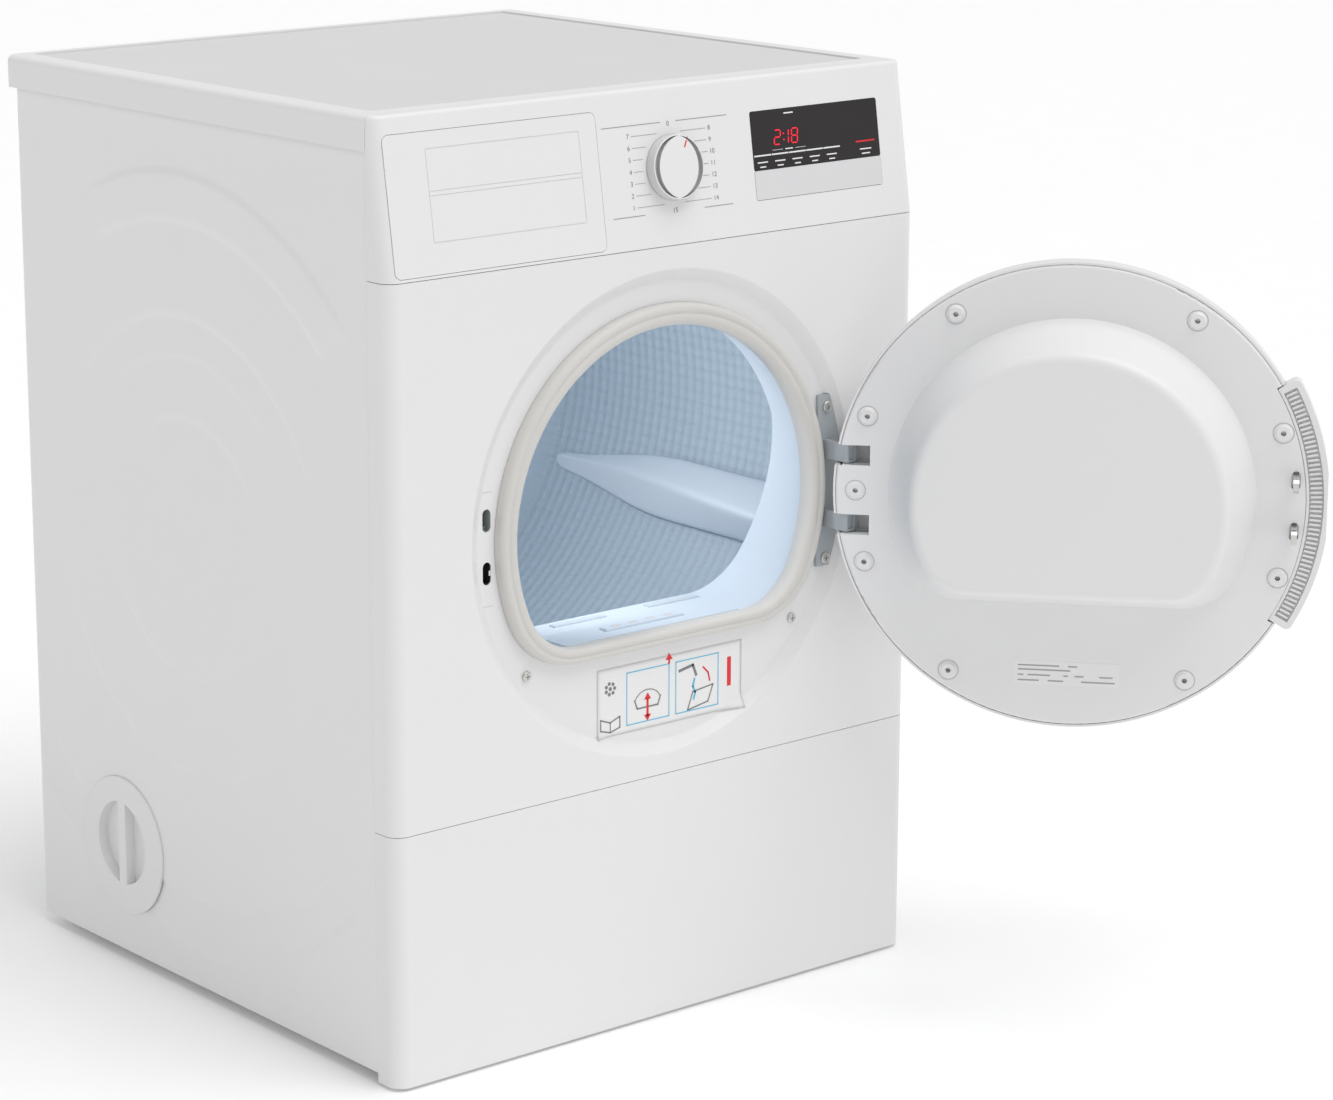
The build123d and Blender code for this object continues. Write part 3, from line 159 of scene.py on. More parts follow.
def embossed_drum():
    """Rolled drum sheet with staggered lens-shaped pillows pressed into it."""
    mat = surface("drum_metal", DRUM_COLOUR, 0.5, metal=0.15, grain=0.05, mottle=0.03)
    nodes, links = mat.node_tree.nodes, mat.node_tree.links
    place = nodes["Texture Coordinate"]
    split = nodes.new("ShaderNodeSeparateXYZ")
    links.new(place.outputs["Object"], split.inputs["Vector"])
    height = formula(nodes, links, "SUBTRACT", split.outputs["Z"], DRUM_Z * MM)
    turn = formula(nodes, links, "ARCTAN2", split.outputs["X"], height)
    across = formula(nodes, links, "MULTIPLY", turn, 80.0)
    along = formula(nodes, links, "MULTIPLY", split.outputs["Y"], math.tau / 0.024)
    sway = formula(nodes, links, "SINE", along)
    swayed = formula(nodes, links, "ADD", across, formula(nodes, links, "MULTIPLY", sway, 1.1))
    other = formula(nodes, links, "SUBTRACT", across, formula(nodes, links, "MULTIPLY", sway, 1.1))
    pillow = formula(nodes, links, "MULTIPLY", formula(nodes, links, "SINE", swayed),
                     formula(nodes, links, "SINE", other))
    bump = nodes.new("ShaderNodeBump")
    bump.inputs["Strength"].default_value = 0.5
    bump.inputs["Distance"].default_value = 0.0018
    links.new(pillow, bump.inputs["Height"])
    links.new(nodes["Bump"].outputs["Normal"], bump.inputs["Normal"])
    links.new(bump.outputs["Normal"], nodes["Principled BSDF"].inputs["Normal"])
    return mat


def glow(name, colour, strength):
    mat = surface(name, colour, 0.4, mottle=0.02)
    shader = mat.node_tree.nodes["Principled BSDF"]
    shader.inputs["Emission Color"].default_value = (*colour, 1)
    shader.inputs["Emission Strength"].default_value = strength
    return mat


def lens(name):
    mat = surface(name, (0.95, 0.96, 0.97), 0.08, grain=0.02, mottle=0.01)
    shader = mat.node_tree.nodes["Principled BSDF"]
    shader.inputs["Transmission Weight"].default_value = 0.8
    return mat


DRUM_COLOUR = (0.50, 0.585, 0.66)
ENAMEL = surface("white_enamel", (0.80, 0.80, 0.805), 0.34, grain=0.06, grain_size=1.6, mottle=0.01,
                 coat=0.25)
PLASTIC = surface("white_plastic", (0.80, 0.80, 0.805), 0.42, grain=0.05, grain_size=0.8, mottle=0.01)
WORKTOP = surface("worktop_laminate", (0.68, 0.68, 0.69), 0.5, grain=0.35, grain_size=1.2, mottle=0.02)
PALE_BLUE = surface("pale_blue_plastic", (0.63, 0.71, 0.80), 0.42, grain=0.05, mottle=0.01)
HINGE_GREY = surface("hinge_grey", (0.40, 0.435, 0.46), 0.45, grain=0.15, mottle=0.05)
GALVANISED = surface("galvanised", (0.55, 0.57, 0.60), 0.42, metal=0.85, grain=0.1, grain_size=6, mottle=0.18)
STEEL = surface("zinc_plated", (0.62, 0.62, 0.60), 0.3, metal=0.9, grain=0.08, mottle=0.1)
BLACK_GLOSS = surface("display_black", (0.014, 0.011, 0.013), 0.3, mottle=0.15, grain=0.01)
GREY = surface("grey_plastic", (0.32, 0.33, 0.34), 0.5, grain=0.2, mottle=0.06)
SEAL = surface("seal_rubber", (0.64, 0.625, 0.60), 0.55, grain=0.12, grain_size=0.7, mottle=0.03, sheen=0.1)
BLACK_RUBBER = surface("black_rubber", (0.025, 0.025, 0.026), 0.7, grain=0.25, mottle=0.2)
FELT = surface("wool_felt", (0.66, 0.63, 0.57), 0.95, grain=0.9, grain_size=1.5, mottle=0.12, sheen=0.5)
CAST = surface("cast_aluminium", (0.55, 0.56, 0.57), 0.5, metal=0.8, grain=0.4, grain_size=2, mottle=0.08)
MOTOR = surface("motor_steel", (0.07, 0.075, 0.08), 0.45, metal=0.6, grain=0.15, mottle=0.1)
BOARD = surface("circuit_board", (0.03, 0.17, 0.08), 0.4, grain=0.1, mottle=0.3)
BRONZE = surface("sintered_bronze", (0.45, 0.30, 0.14), 0.45, metal=0.9, grain=0.4, mottle=0.1)
KEY_STRIP = surface("key_strip", (0.70, 0.70, 0.71), 0.38, grain=0.04, mottle=0.01)
PRINT_GREY = surface("print_grey", (0.22, 0.22, 0.23), 0.6, mottle=0.04)
PRINT_MID = surface("print_mid", (0.36, 0.36, 0.37), 0.6, mottle=0.04)
# Pale grey for printed and drawn lines, and for the painted shade round the door's screw bosses.
PALE_LINES_AND_SHADE = surface("pale_lines_and_painted_shade", (0.56, 0.56, 0.57), 0.6, mottle=0.03)
PRINT_RED = surface("print_red", (0.75, 0.02, 0.03), 0.5, mottle=0.05)
PRINT_BLUE = surface("print_blue", (0.10, 0.50, 0.72), 0.5, mottle=0.05)
LABEL = surface("label_white", (0.83, 0.83, 0.83), 0.35, mottle=0.01)
# Painted shade: near black lining for the deep inside of the lower latch slot.
SHADE_BLACK = surface("dark_plastic", (0.03, 0.03, 0.03), 0.6, grain=0.1, mottle=0.1)
GREEN_GREY = surface("bolt_plastic", (0.34, 0.39, 0.37), 0.5, grain=0.1, mottle=0.04)
# Painted light: a brighter copy of the pale blue plastic, lifting the lifters to the brightness of the lit drum.
LIFTER_BLUE_LIT = surface("lifter_painted_light", (0.71, 0.77, 0.84), 0.42, grain=0.05, mottle=0.01)
# Painted shade: mid grey for the knob's sunk crescents.
KNOB_PAINTED_SHADE = surface("knob_painted_shade", (0.50, 0.50, 0.51), 0.45, grain=0.05, mottle=0.02)
# Painted light: a slightly brighter copy of the white plastic for the notch pockets, against their shade.
NOTCH_WHITE_LIT = surface("notch_painted_light", (0.84, 0.84, 0.84), 0.5, grain=0.05, mottle=0.01)
# Painted shade: pale grey for the knob's outer wall and the lint filter's grip slots.
PAINTED_SHADE_GREY = surface("painted_shade_grey", (0.62, 0.62, 0.63), 0.5, grain=0.05, mottle=0.02)
SENSOR = surface("sensor_steel", (0.66, 0.72, 0.78), 0.4, metal=0.2, mottle=0.04)
LED = glow("led_red", (0.80, 0.008, 0.03), 0.9)
CLEAR = lens("lamp_clear")
DRUM_METAL = embossed_drum()

SLOT_MATERIALS = {
    "white_enamel": ENAMEL, "white_plastic": PLASTIC, "worktop_white": WORKTOP,
    "pale_blue_plastic": PALE_BLUE, "hinge_grey": HINGE_GREY, "galvanised": GALVANISED,
    "bright_steel": STEEL, "dark_plastic": BLACK_GLOSS, "grey_plastic": GREY, "seal_rubber": SEAL,
    "black_rubber": BLACK_RUBBER, "felt": FELT, "cast_metal": CAST, "motor_steel": MOTOR,
    "circuit_green": BOARD, "bronze": BRONZE, "lamp_clear": CLEAR,
}
NODE_MATERIALS = {"drum_shell": DRUM_METAL, "drum_rear_wall": DRUM_METAL, "touch_key_strip": KEY_STRIP,
                  "latch_bolt": GREEN_GREY, "moisture_sensors": SENSOR}


def dress_frame():
    """Gives every CAD node its finish."""
    slots = {part["node"]: part["material_slot"] for part in frame["record"]["subparts"]}
    for name, node in NODES.items():
        finish = NODE_MATERIALS.get(name, SLOT_MATERIALS[slots[name]])
        for index in range(max(1, len(node.material_slots))):
            if not node.material_slots:
                node.data.materials.append(finish)
            node.material_slots[index].material = finish


# ---- building pieces ----
def piece(name, points, faces, body, material, slot, smooth=True):
    """A mesh object that rides on a CAD body."""
    mesh = bpy.data.meshes.new(name)
    mesh.from_pydata([tuple(p) for p in points], [], faces)
    work = bmesh.new()
    work.from_mesh(mesh)
    bmesh.ops.recalc_face_normals(work, faces=work.faces)
    work.to_mesh(mesh)
    work.free()
    mesh.polygons.foreach_set("use_smooth", [smooth] * len(mesh.polygons))
    mesh.materials.append(material)
    obj = bpy.data.objects.new(name, mesh)
    bpy.context.scene.collection.objects.link(obj)
    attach(obj, body)
    return obj


def soften(obj, levels):
    modifier = obj.modifiers.new("Subdivision", "SUBSURF")
    modifier.levels = levels
    modifier.render_levels = levels
    return obj


def lofted(rings, closed_ends=True):
    """Points and faces of a skin over rings that all have the same number of points."""
    count = len(rings[0])
    points = [p for ring in rings for p in ring]
    faces = []
    for i in range(len(rings) - 1):
        for j in range(count):
            k = (j + 1) % count
            faces.append((i * count + j, i * count + k, (i + 1) * count + k, (i + 1) * count + j))
    if closed_ends:
        faces.append(tuple(range(count)))
        faces.append(tuple((len(rings) - 1) * count + j for j in range(count)))
    return points, faces


def join(points, faces, skin):
    """Adds one skin, as lofted() gives it, to a mesh's points and faces."""
    faces += [tuple(len(points) + k for k in face) for face in skin[1]]
    points += skin[0]


def marks(name, outlines, place, body, material, slot, lift=0.05, thick=0.15):
    """Flat printed or stuck-on shapes: each outline is a closed list of (across, up)."""
    points, faces = [], []
    for outline in outlines:
        start, count = len(points), len(outline)
        points += [place(x, v, lift - 0.1) for x, v in outline]
        points += [place(x, v, lift + thick) for x, v in outline]
        faces.append(tuple(range(start + count, start + 2 * count)))
        for i in range(count):
            j = (i + 1) % count
            faces.append((start + i, start + j, start + count + j, start + count + i))
    return piece(name, points, faces, body, material, slot, smooth=False)


def ribbon(path, width, closed=False):
    """Quads along a path, for drawn lines."""
    quads = []
    pairs = list(zip(path, path[1:] + path[:1])) if closed else list(zip(path, path[1:]))
    for (x0, v0), (x1, v1) in pairs:
        length = math.hypot(x1 - x0, v1 - v0)
        nx, nv = -(v1 - v0) / length * width / 2, (x1 - x0) / length * width / 2
        ex, ev = (x1 - x0) / length * width * 0.3, (v1 - v0) / length * width * 0.3
        quads.append([(x0 - ex + nx, v0 - ev + nv), (x0 - ex - nx, v0 - ev - nv),
                      (x1 + ex - nx, v1 + ev - nv), (x1 + ex + nx, v1 + ev + nv)])
    return quads


def rectangle(x0, x1, v0, v1):
    return [(x0, v0), (x1, v0), (x1, v1), (x0, v1)]


def circle(x, v, radius, count=24):
    return [(x + radius * math.cos(math.tau * i / count), v + radius * math.sin(math.tau * i / count))
            for i in range(count)]


def numbers(name, items, place, body, size, material, slot, lift=0.15):
    """Flat figures: each item is (text, across, up, alignment)."""
    points, faces = [], []
    for text, x, v, align in items:
        font = bpy.data.curves.new("figures", "FONT")
        font.body = text
        font.size = size
        font.align_x = align
        font.align_y = "CENTER"
        drawn = bpy.data.objects.new("figures", font)
        bpy.context.scene.collection.objects.link(drawn)
        bpy.context.view_layer.update()
        flat = bpy.data.meshes.new_from_object(drawn.evaluated_get(bpy.context.evaluated_depsgraph_get()))
        start = len(points)
        points += [place(x + p.co.x, v + p.co.y, lift) for p in flat.vertices]
        faces += [tuple(start + i for i in face.vertices) for face in flat.polygons]
        bpy.data.objects.remove(drawn)
        bpy.data.meshes.remove(flat)
        bpy.data.curves.remove(font)
    return piece(name, points, faces, body, material, slot, smooth=False)


def d_loop(radius, flat, corner, depth, steps=(10, 10, 44)):
    """A D outline round the door opening: circle, flat bottom and two rounded corners, at one depth."""
    reach = radius - corner
    side = math.sqrt(reach**2 - (flat - corner) ** 2)
    low = flat - corner
    out = math.atan2(-low, side)
    bottom, turn, arc = steps
    path = [(-side + 2 * side * i / bottom, -flat) for i in range(bottom)]
    for i in range(turn):
        a = -math.pi / 2 + (out + math.pi / 2) * i / turn
        path.append((side + corner * math.cos(a), -low + corner * math.sin(a)))
    for i in range(arc):
        a = out + (math.pi - 2 * out) * i / arc
        path.append((radius * math.cos(a), radius * math.sin(a)))
    for i in range(turn):
        a = math.pi - out + (out + math.pi / 2) * i / turn
        path.append((-side + corner * math.cos(a), -low + corner * math.sin(a)))
    return [at(OPEN_X + x, depth, OPEN_Z + z) for x, z in path]


# ---- door seal ----
def door_seal():
    """A soft two-lip profile carried round the D: how far out each point lies, 0 to 1, and its depth."""
    inner, outer = (168.0, 103.5, 60.0), (SEAL_R, 118.0, 74.0)
    profile = [(1.0, 7.6), (1.0, 4.0), (0.985, 0.6), (0.9, -1.9), (0.78, -2.9), (0.66, -2.8), (0.60, -2.1),
               (0.56, -1.6), (0.52, -2.1), (0.45, -2.9), (0.30, -3.2), (0.14, -2.0), (0.03, 1.2), (0.0, 6.0),
               (0.06, 12.0), (0.2, 17.5), (0.32, 19.5)]
    rings = []
    for out, depth in profile:
        shape = [a + (b - a) * out for a, b in zip(inner, outer)]
        rings.append(d_loop(*shape, depth))
    seal = piece("seal_profile", *lofted(rings, closed_ends=False), "cabinet", SEAL, "seal_rubber")
    soften(seal, 2)
    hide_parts("door_seal")


# ---- side panels ----
def smooth_step(value):
    value = min(1.0, max(0.0, value))
    return value * value * (3 - 2 * value)


def pressed(depth, z):
    """How far the side panel's relief stands out at a point, in millimetres."""
    across, up = depth - PRESS_D, z - PRESS_Z
    radius = math.hypot(across, up)
    turn = math.degrees(math.atan2(up, -across))
    relief = 0.0
    for rim, height in ((122.0, 1.3), (178.0, 0.8 * smooth_step(up / 60)), (215.0, 1.5)):
        relief -= height * up / rim * smooth_step((rim - radius) / 7)
    relief += 0.6 * up / 262.6 * smooth_step((262.6 - radius) / 7) * smooth_step(-up / 60)
    band = smooth_step((radius - 293) / 7) * smooth_step((343 - radius) / 7)
    relief += 1.4 * band * smooth_step((turn - 42) / 4) * smooth_step((124 - turn) / 16)
    band = smooth_step((radius - 328.6) / 7) * smooth_step((378 - radius) / 7)
    relief -= 1.4 * band * smooth_step((-turn - 46) / 4) * smooth_step((142 + turn) / 10)
    return relief


def side_panel(side, name):
    """Pressed sheet with its relief, and the flanges folded in along its four edges."""
    low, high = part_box(name)
    d0, d1 = (low.y - FRONT) / MM, (high.y - FRONT) / MM
    z0, z1 = low.z / MM, high.z / MM
    face = (high.x if side > 0 else low.x) / MM
    step = 3.0
    across = int((d1 - d0) / step)
    up = int((z1 - z0) / step)
    vent_d = (sum(corner.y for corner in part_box("exhaust_cap")) / 2 - FRONT) / MM
    vent_z = sum(corner.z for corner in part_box("exhaust_cap")) / 2 / MM
    points, faces = [], []
    for i in range(across + 1):
        for j in range(up + 1):
            depth, z = d0 + (d1 - d0) * i / across, z0 + (z1 - z0) * j / up
            edge = min(depth - d0, d1 - depth, z - z0, z1 - z)
            fold = 1.6 * (1 - smooth_step(edge / 3.0))
            waist = 1.5 * smooth_step((z - z1 + 60) / 30) * smooth_step((z1 - 6 - z) / 12)
            out = pressed(depth, z) * smooth_step(edge / 18) - 0.25 * waist - fold * 0.5
            points.append(at(face + side * min(out, 1.4), depth, z))
    for i in range(across):
        for j in range(up):
            depth, z = d0 + (i + 0.5) * (d1 - d0) / across, z0 + (j + 0.5) * (z1 - z0) / up
            if side < 0 and math.hypot(depth - vent_d, z - vent_z) < 62:
                continue
            a = i * (up + 1) + j
            faces.append((a, a + 1, a + up + 2, a + up + 1))
    inward = [(d0, d0, z0, z1, 18), (d1, d1, z0, z1, 20), (d0, d1, z0, z0, 14), (d0, d1, z1, z1, 16)]
    for da, db, za, zb, width in inward:
        start = len(points)
        x0, x1 = face - side * 0.9, face - side * width
        if da == db:
            points += [at(x0, da, za), at(x1, da, za), at(x1, da, zb), at(x0, da, zb)]
        else:
            points += [at(x0, da, za), at(x1, da, za), at(x1, db, za), at(x0, db, za)]
        faces.append((start, start + 1, start + 2, start + 3))
    panel = piece(f"pressed_{name}", points, faces, "cabinet", ENAMEL, "white_enamel")
    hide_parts(name)


# ---- drum lifters ----
def lifters():
    """Three moulded paddles, low at the rear and high at the front, with a slanting crest."""
    stations = 12
    first_turn = -22.0
    points, faces = [], []
    inside = DRUM_R - 1.4
    rear, front = 478.0, 62.0
    for index in range(3):
        turn = math.radians(first_turn + 120 * index)
        rings = []
        for i in range(stations + 1):
            t = i / stations
            depth = rear + (front - rear) * t
            height = 7 + 40 * smooth_step(t / 0.85)
            wide = 9 + 27 * smooth_step(t / 0.45)
            crest = 14 - 26 * t
            if i in (0, stations):
                height *= 0.72
            crest *= wide / 36
            profile = [(-wide, 0), (-wide * 0.86, height * 0.3), (crest - wide * 0.2, height * 0.93),
                       (crest - wide * 0.06, height), (crest + wide * 0.06, height),
                       (crest + wide * 0.2, height * 0.93), (wide * 0.86, height * 0.3), (wide, 0)]
            ring = []
            for side, up in profile:
                a = turn + side / DRUM_R
                r = inside - up
                ring.append(at(r * math.cos(a), depth, DRUM_Z + r * math.sin(a)))
            rings.append(ring)
        join(points, faces, lofted(rings))
    # Painted light: the paddles get a brighter copy of the pale blue plastic.
    paddles = piece("lifter_mouldings", points, faces, "drum", LIFTER_BLUE_LIT, "pale_blue_plastic")
    soften(paddles, 2)
    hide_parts("drum_lifters")


# ---- printed marks, painted shade and the knob ----
def dial_print():
    """Thin frame lines, leader lines and plain position numbers round the knob."""
    lines = []
    for v, ends in ((106.3, (-59.4, 6, 24, 81.9)), (28.8, (-54.7, -20, 48, 80.7))):
        lines += ribbon([(ends[0], v), (ends[1], v)], 0.5) + ribbon([(ends[2], v), (ends[3], v)], 0.5)
    figures = []
    rows = 7
    for side, sign in (("RIGHT", -1), ("LEFT", 1)):
        for row in range(rows):
            v = 97.0 - row * 10.2
            reach = math.sqrt(max(0.0, 33.0**2 - (v - KNOB_V) ** 2)) if abs(v - KNOB_V) < 33 else 12.0
            x_in = KNOB_X + sign * max(reach, 12.0)
            x_out = KNOB_X + sign * 42.0
            lines += ribbon([(x_in, v), (x_out, v)], 0.32)
            number = rows - row if sign < 0 else rows + 1 + row
            figures.append((str(number), x_out + sign * 2.5, v, side))
    marks("dial_lines", lines, on_fascia, "cabinet", PRINT_GREY, "grey_plastic")
    figures += [("0", KNOB_X, 104.5, "CENTER"), ("15", KNOB_X, 29.6, "CENTER")]
    numbers("dial_numbers", figures, on_fascia, "cabinet", 6.0, PRINT_GREY, "grey_plastic")


def knob():
    """Round knob: a thin rim, and a lens-shaped face between two sunk crescents for the fingertips; its outer wall
    and the crescents are grey as painted shade.
    """
    steps, tilt = 120, math.radians(-6)
    side_r, bevel_r, crown_r, rim_r = 28.2, 27.9, 27.4, 26.9
    lens_r, shift, sunk = 27.8, 6.0, KNOB_TOP - 4.2

    def ring(radius_at, lift):
        points = []
        for i in range(steps):
            a = math.tau * i / steps
            r = radius_at(a)
            points.append(on_fascia(KNOB_X + r * math.cos(a + tilt), KNOB_V + r * math.sin(a + tilt), lift))
        return points

    def round_ring(radius, lift):
        return ring(lambda a: radius, lift)

    def lens_edge(a):
        reach = math.sqrt(lens_r**2 - (shift * math.sin(a)) ** 2) - shift * abs(math.cos(a))
        return min(reach, rim_r)

    def skin(name, rings, material, smooth=True):
        return piece(name, *lofted(rings, closed_ends=False), "knob", material, "white_plastic", smooth)

    bevel = round_ring(bevel_r, KNOB_TOP - 0.3)
    edge, lens_rim = round_ring(rim_r, KNOB_TOP), ring(lens_edge, KNOB_TOP)
    # Painted shade: the outer wall is pale grey for the shade it shows, not for its own plastic.
    skin("knob_wall", [round_ring(side_r, 0.7), round_ring(side_r, KNOB_TOP - 0.9), bevel], PAINTED_SHADE_GREY)
    skin("knob_rim", [bevel, round_ring(crown_r, KNOB_TOP), edge], PLASTIC)
    # Painted shade: the sunk crescents are mid grey for the shade that falls in them.
    skin("knob_crescents", [edge, round_ring(rim_r, sunk), ring(lens_edge, sunk), lens_rim], KNOB_PAINTED_SHADE,
         smooth=False)
    middle = ring(lambda a: 0.4 * lens_edge(a), KNOB_TOP)
    face = skin("knob_face", [lens_rim, middle, round_ring(0.3, KNOB_TOP)], PLASTIC, smooth=False)
    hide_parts("program_knob")


def knob_pointer():
    """Red pointer over the knob's rim and on its face."""
    turn = math.radians(90 - 26)
    across = (-math.sin(turn), math.cos(turn))

    def bar(r0, r1, width):
        ends = [(r0, -width), (r1, -width), (r1, width), (r0, width)]
        return [(KNOB_X + r * math.cos(turn) + w * across[0], KNOB_V + r * math.sin(turn) + w * across[1])
                for r, w in ends]

    marks("pointer_face", [bar(18.0, 24.4, 0.7), bar(26.95, 27.6, 0.7)], on_fascia, "knob", PRINT_RED,
          "dark_plastic", KNOB_TOP)


SEGMENTS = {"1": "bc", "2": "abged", "8": "abcdefg"}


def led_digits():
    """Seven-segment time figures behind the display's upper left."""
    tall, wide, line, lean = 12.6, 7.0, 0.95, 0.10
    spots = {"a": ((0, 1), (1, 1)), "b": ((1, 1), (1, 0.5)), "c": ((1, 0.5), (1, 0)), "d": ((0, 0), (1, 0)),
             "e": ((0, 0.5), (0, 0)), "f": ((0, 1), (0, 0.5)), "g": ((0, 0.5), (1, 0.5))}
    shapes = []
    x0, v0 = 134.6, 75.2
    for digit, shift in (("2", 0.0), ("1", 9.6), ("8", 20.4)):
        for segment in SEGMENTS[digit]:
            (ax, av), (bx, bv) = spots[segment]
            start = (x0 + shift + ax * wide + av * tall * lean, v0 + av * tall)
            end = (x0 + shift + bx * wide + bv * tall * lean, v0 + bv * tall)
            dx, dv = end[0] - start[0], end[1] - start[1]
            keep = 0.15
            shapes += ribbon([(start[0] + dx * keep, start[1] + dv * keep),
                              (end[0] - dx * keep, end[1] - dv * keep)], line)
    for v in (v0 + 3.6, v0 + 9.0):
        shapes.append(circle(x0 + 11.6, v, 0.7, 10))
    marks("time_digits", shapes, on_fascia, "cabinet", LED, "dark_plastic", 0.3)


def display_print():
    """White ticks with plain bars for captions under them, and the start key's red line."""
    fine, pitch, tick_v = [], 20.6, 67.0
    for i in range(5):
        x = 110.2 + pitch * i
        fine += ribbon([(x, tick_v), (x + pitch - 1.6, tick_v)], 1.3)
        fine += [rectangle(x + 3.0, x + 15.0, tick_v - 6.6, tick_v - 5.5)]
        fine += [rectangle(x + 5.5, x + 12.5, tick_v - 10.6, tick_v - 9.5)]
    fine += ribbon([(132, 70.6), (144, 70.6)], 0.35) + ribbon([(159, 70.6), (171, 70.6)], 0.35)
    fine += [rectangle(147, 156, 70.1, 71.1), rectangle(148.5, 159.5, 101.3, 102.5)]
    fine += [rectangle(236, 250, tick_v - 5.6, tick_v - 4.5), rectangle(238, 248, tick_v - 9.6, tick_v - 8.5)]
    marks("display_ticks", fine, on_fascia, "cabinet", LABEL, "white_plastic", 0.3)
    marks("start_line", ribbon([(232, 69.0), (254, 69.0)], 1.4), on_fascia, "cabinet", PRINT_RED,
          "dark_plastic", 0.3)


def in_dish(x, z, lift=0.0):
    """A place on the seat's floor or on its sloping rim."""
    radius = math.hypot(x - OPEN_X, z - OPEN_Z)
    rising = min(1.0, max(0.0, (radius - DISH_FLOOR + 2.0) / (DISH_RIM - DISH_FLOOR + 2.0)))
    return at(x, DISH_DEPTH * (1 - rising) - 0.25 - lift, z)


def draped_card(name, x0, x1, z0, z1):
    """A thin card that follows the seat's surface."""
    columns, rows = 34, 14
    points = [in_dish(x0 + (x1 - x0) * i / columns, z0 + (z1 - z0) * j / rows)
              for i in range(columns + 1) for j in range(rows + 1)]
    starts = [i * (rows + 1) + j for i in range(columns) for j in range(rows)]
    faces = [(a, a + rows + 1, a + rows + 2, a + 1) for a in starts]
    card = piece(name, points, faces, "cabinet", LABEL, "white_plastic")
    skin = card.modifiers.new("Thickness", "SOLIDIFY")
    skin.thickness = 0.25 * MM
    skin.offset = 0.0


def care_label():
    """A plain picture card under the opening: outlined squares, simple drawings, arrows and a red bar."""
    x0, x1, z0, z1 = -71.0, 98.0, 273.0, 336.0
    draped_card("label_card", x0, x1, z0, z1)
    border = []
    for v in (z0 + 0.6, z1 - 0.6):
        border += ribbon([(x0 + 0.6 + (x1 - x0 - 1.2) * i / 20, v) for i in range(21)], 0.4)
    for x in (x0 + 0.6, x1 - 0.6):
        border += ribbon([(x, z0 + 0.6 + (z1 - z0 - 1.2) * i / 12) for i in range(13)], 0.4)
    marks("label_border", border, in_dish, "cabinet", PALE_LINES_AND_SHADE, "white_plastic", 0.2)
    grey = []
    for i in range(7):
        a = math.tau * i / 7
        grey.append(circle(-56 + 5 * math.cos(a), 317 + 5 * math.sin(a), 1.7, 10))
    grey.append(circle(-56, 317, 1.9, 10))
    grey += ribbon([(-67, 290), (-56, 286), (-45, 290), (-45, 280), (-56, 277), (-67, 280)], 1.2, True)
    grey += ribbon([(-56, 286), (-56, 277)], 1.0)
    bows = [math.radians(a) for a in range(20, 161, 14)]
    grey += ribbon([(-13 + 15 * math.cos(a), 297 + 12 * math.sin(a)) for a in bows], 0.8)
    grey += ribbon([(-28, 301), (-25, 293), (-1, 293), (2, 301)], 1.4)
    grey += ribbon([(24, 319), (40, 322), (44, 312)], 2.6)
    grey += ribbon([(34, 281), (58, 285), (64, 300), (40, 297)], 1.2, True)
    marks("label_drawing", grey, in_dish, "cabinet", PRINT_GREY, "grey_plastic", 0.2)
    blue = ribbon(rectangle(-37, 12, 280, 328), 0.9, True) + ribbon(rectangle(20, 70, 280, 328), 0.9, True)
    blue += ribbon([(42, 309), (40, 302), (43, 296), (41, 290)], 2.0)
    marks("label_frames", blue, in_dish, "cabinet", PRINT_BLUE, "dark_plastic", 0.2)
    red = ribbon([(-13, 300), (-13, 285)], 2.4)
    red += [[(-17, 300), (-9, 300), (-13, 306)], [(-17, 286), (-9, 286), (-13, 280)]]
    red += [[(8, 332), (16, 332), (12, 338)], rectangle(11, 13, 328, 332.5)]
    red += ribbon([(52, 318), (58, 312), (60, 304)], 1.5)
    red.append(rectangle(80.8, 85.2, 295, 322))
    marks("label_arrows", red, in_dish, "cabinet", PRINT_RED, "dark_plastic", 0.25)


def door_sticker():
    """A white rating sticker with plain lines and bars in place of its text."""
    x_of = lambda u: OPEN_X - u
    card = [(x_of(u), OPEN_Z + v) for u, v in rectangle(-46, 48, -174, -152)]
    marks("sticker_card", [card], on_inner_door, "door", LABEL, "white_plastic", 0.05)
    lines = []
    for v, spans in ((-156, ((-43, -6), (2, 10))), (-160, ((-43, 4),)),
                     (-165, ((-43, -38), (-34, -14), (-2, 2), (8, 16), (30, 42))),
                     (-170, ((-43, -24), (-16, -2), (14, 44)))):
        for u0, u1 in spans:
            lines.append([(x_of(u), OPEN_Z + w) for u, w in rectangle(u0, u1, v - 0.6, v + 0.6)])
    marks("sticker_lines", lines, on_inner_door, "door", PRINT_MID, "grey_plastic", 0.25)


def handle_ribs():
    """Comb of radial ribs on the handle's rear edge."""
    ribs = []
    for i in range(-25, 26):
        a = math.pi + math.radians(i * 1.12)
        ends = []
        for r, side in ((209.5, -1), (219.5, -1), (219.5, 1), (209.5, 1)):
            b = a + side * 0.9 / r
            ends.append((OPEN_X + r * math.cos(b), OPEN_Z + r * math.sin(b)))
        ribs.append(ends)
    marks("handle_ribs", ribs, lambda x, z, lift=0.0: on_door(x, DOOR_FACE - 6.0 + lift, z), "door", PLASTIC,
          "white_plastic", 0.0, 3.6)


def boss_rings():
    """Painted shade: a narrow flat pale grey ring round each screw boss of the door's inner face, standing in for
    the shaded groove there.
    """
    quads = []
    for turn in BOSS_TURNS + (0.0,):
        reach = BOSS_RING if turn else MIDDLE_BOSS
        x = OPEN_X + reach * math.cos(math.radians(turn))
        z = OPEN_Z + reach * math.sin(math.radians(turn))
        quads += ribbon(circle(x, z, 9.1, 28), 0.9, True)
    marks("boss_rings", quads, on_inner_door, "door", PALE_LINES_AND_SHADE, "white_plastic", 0.02, 0.05)


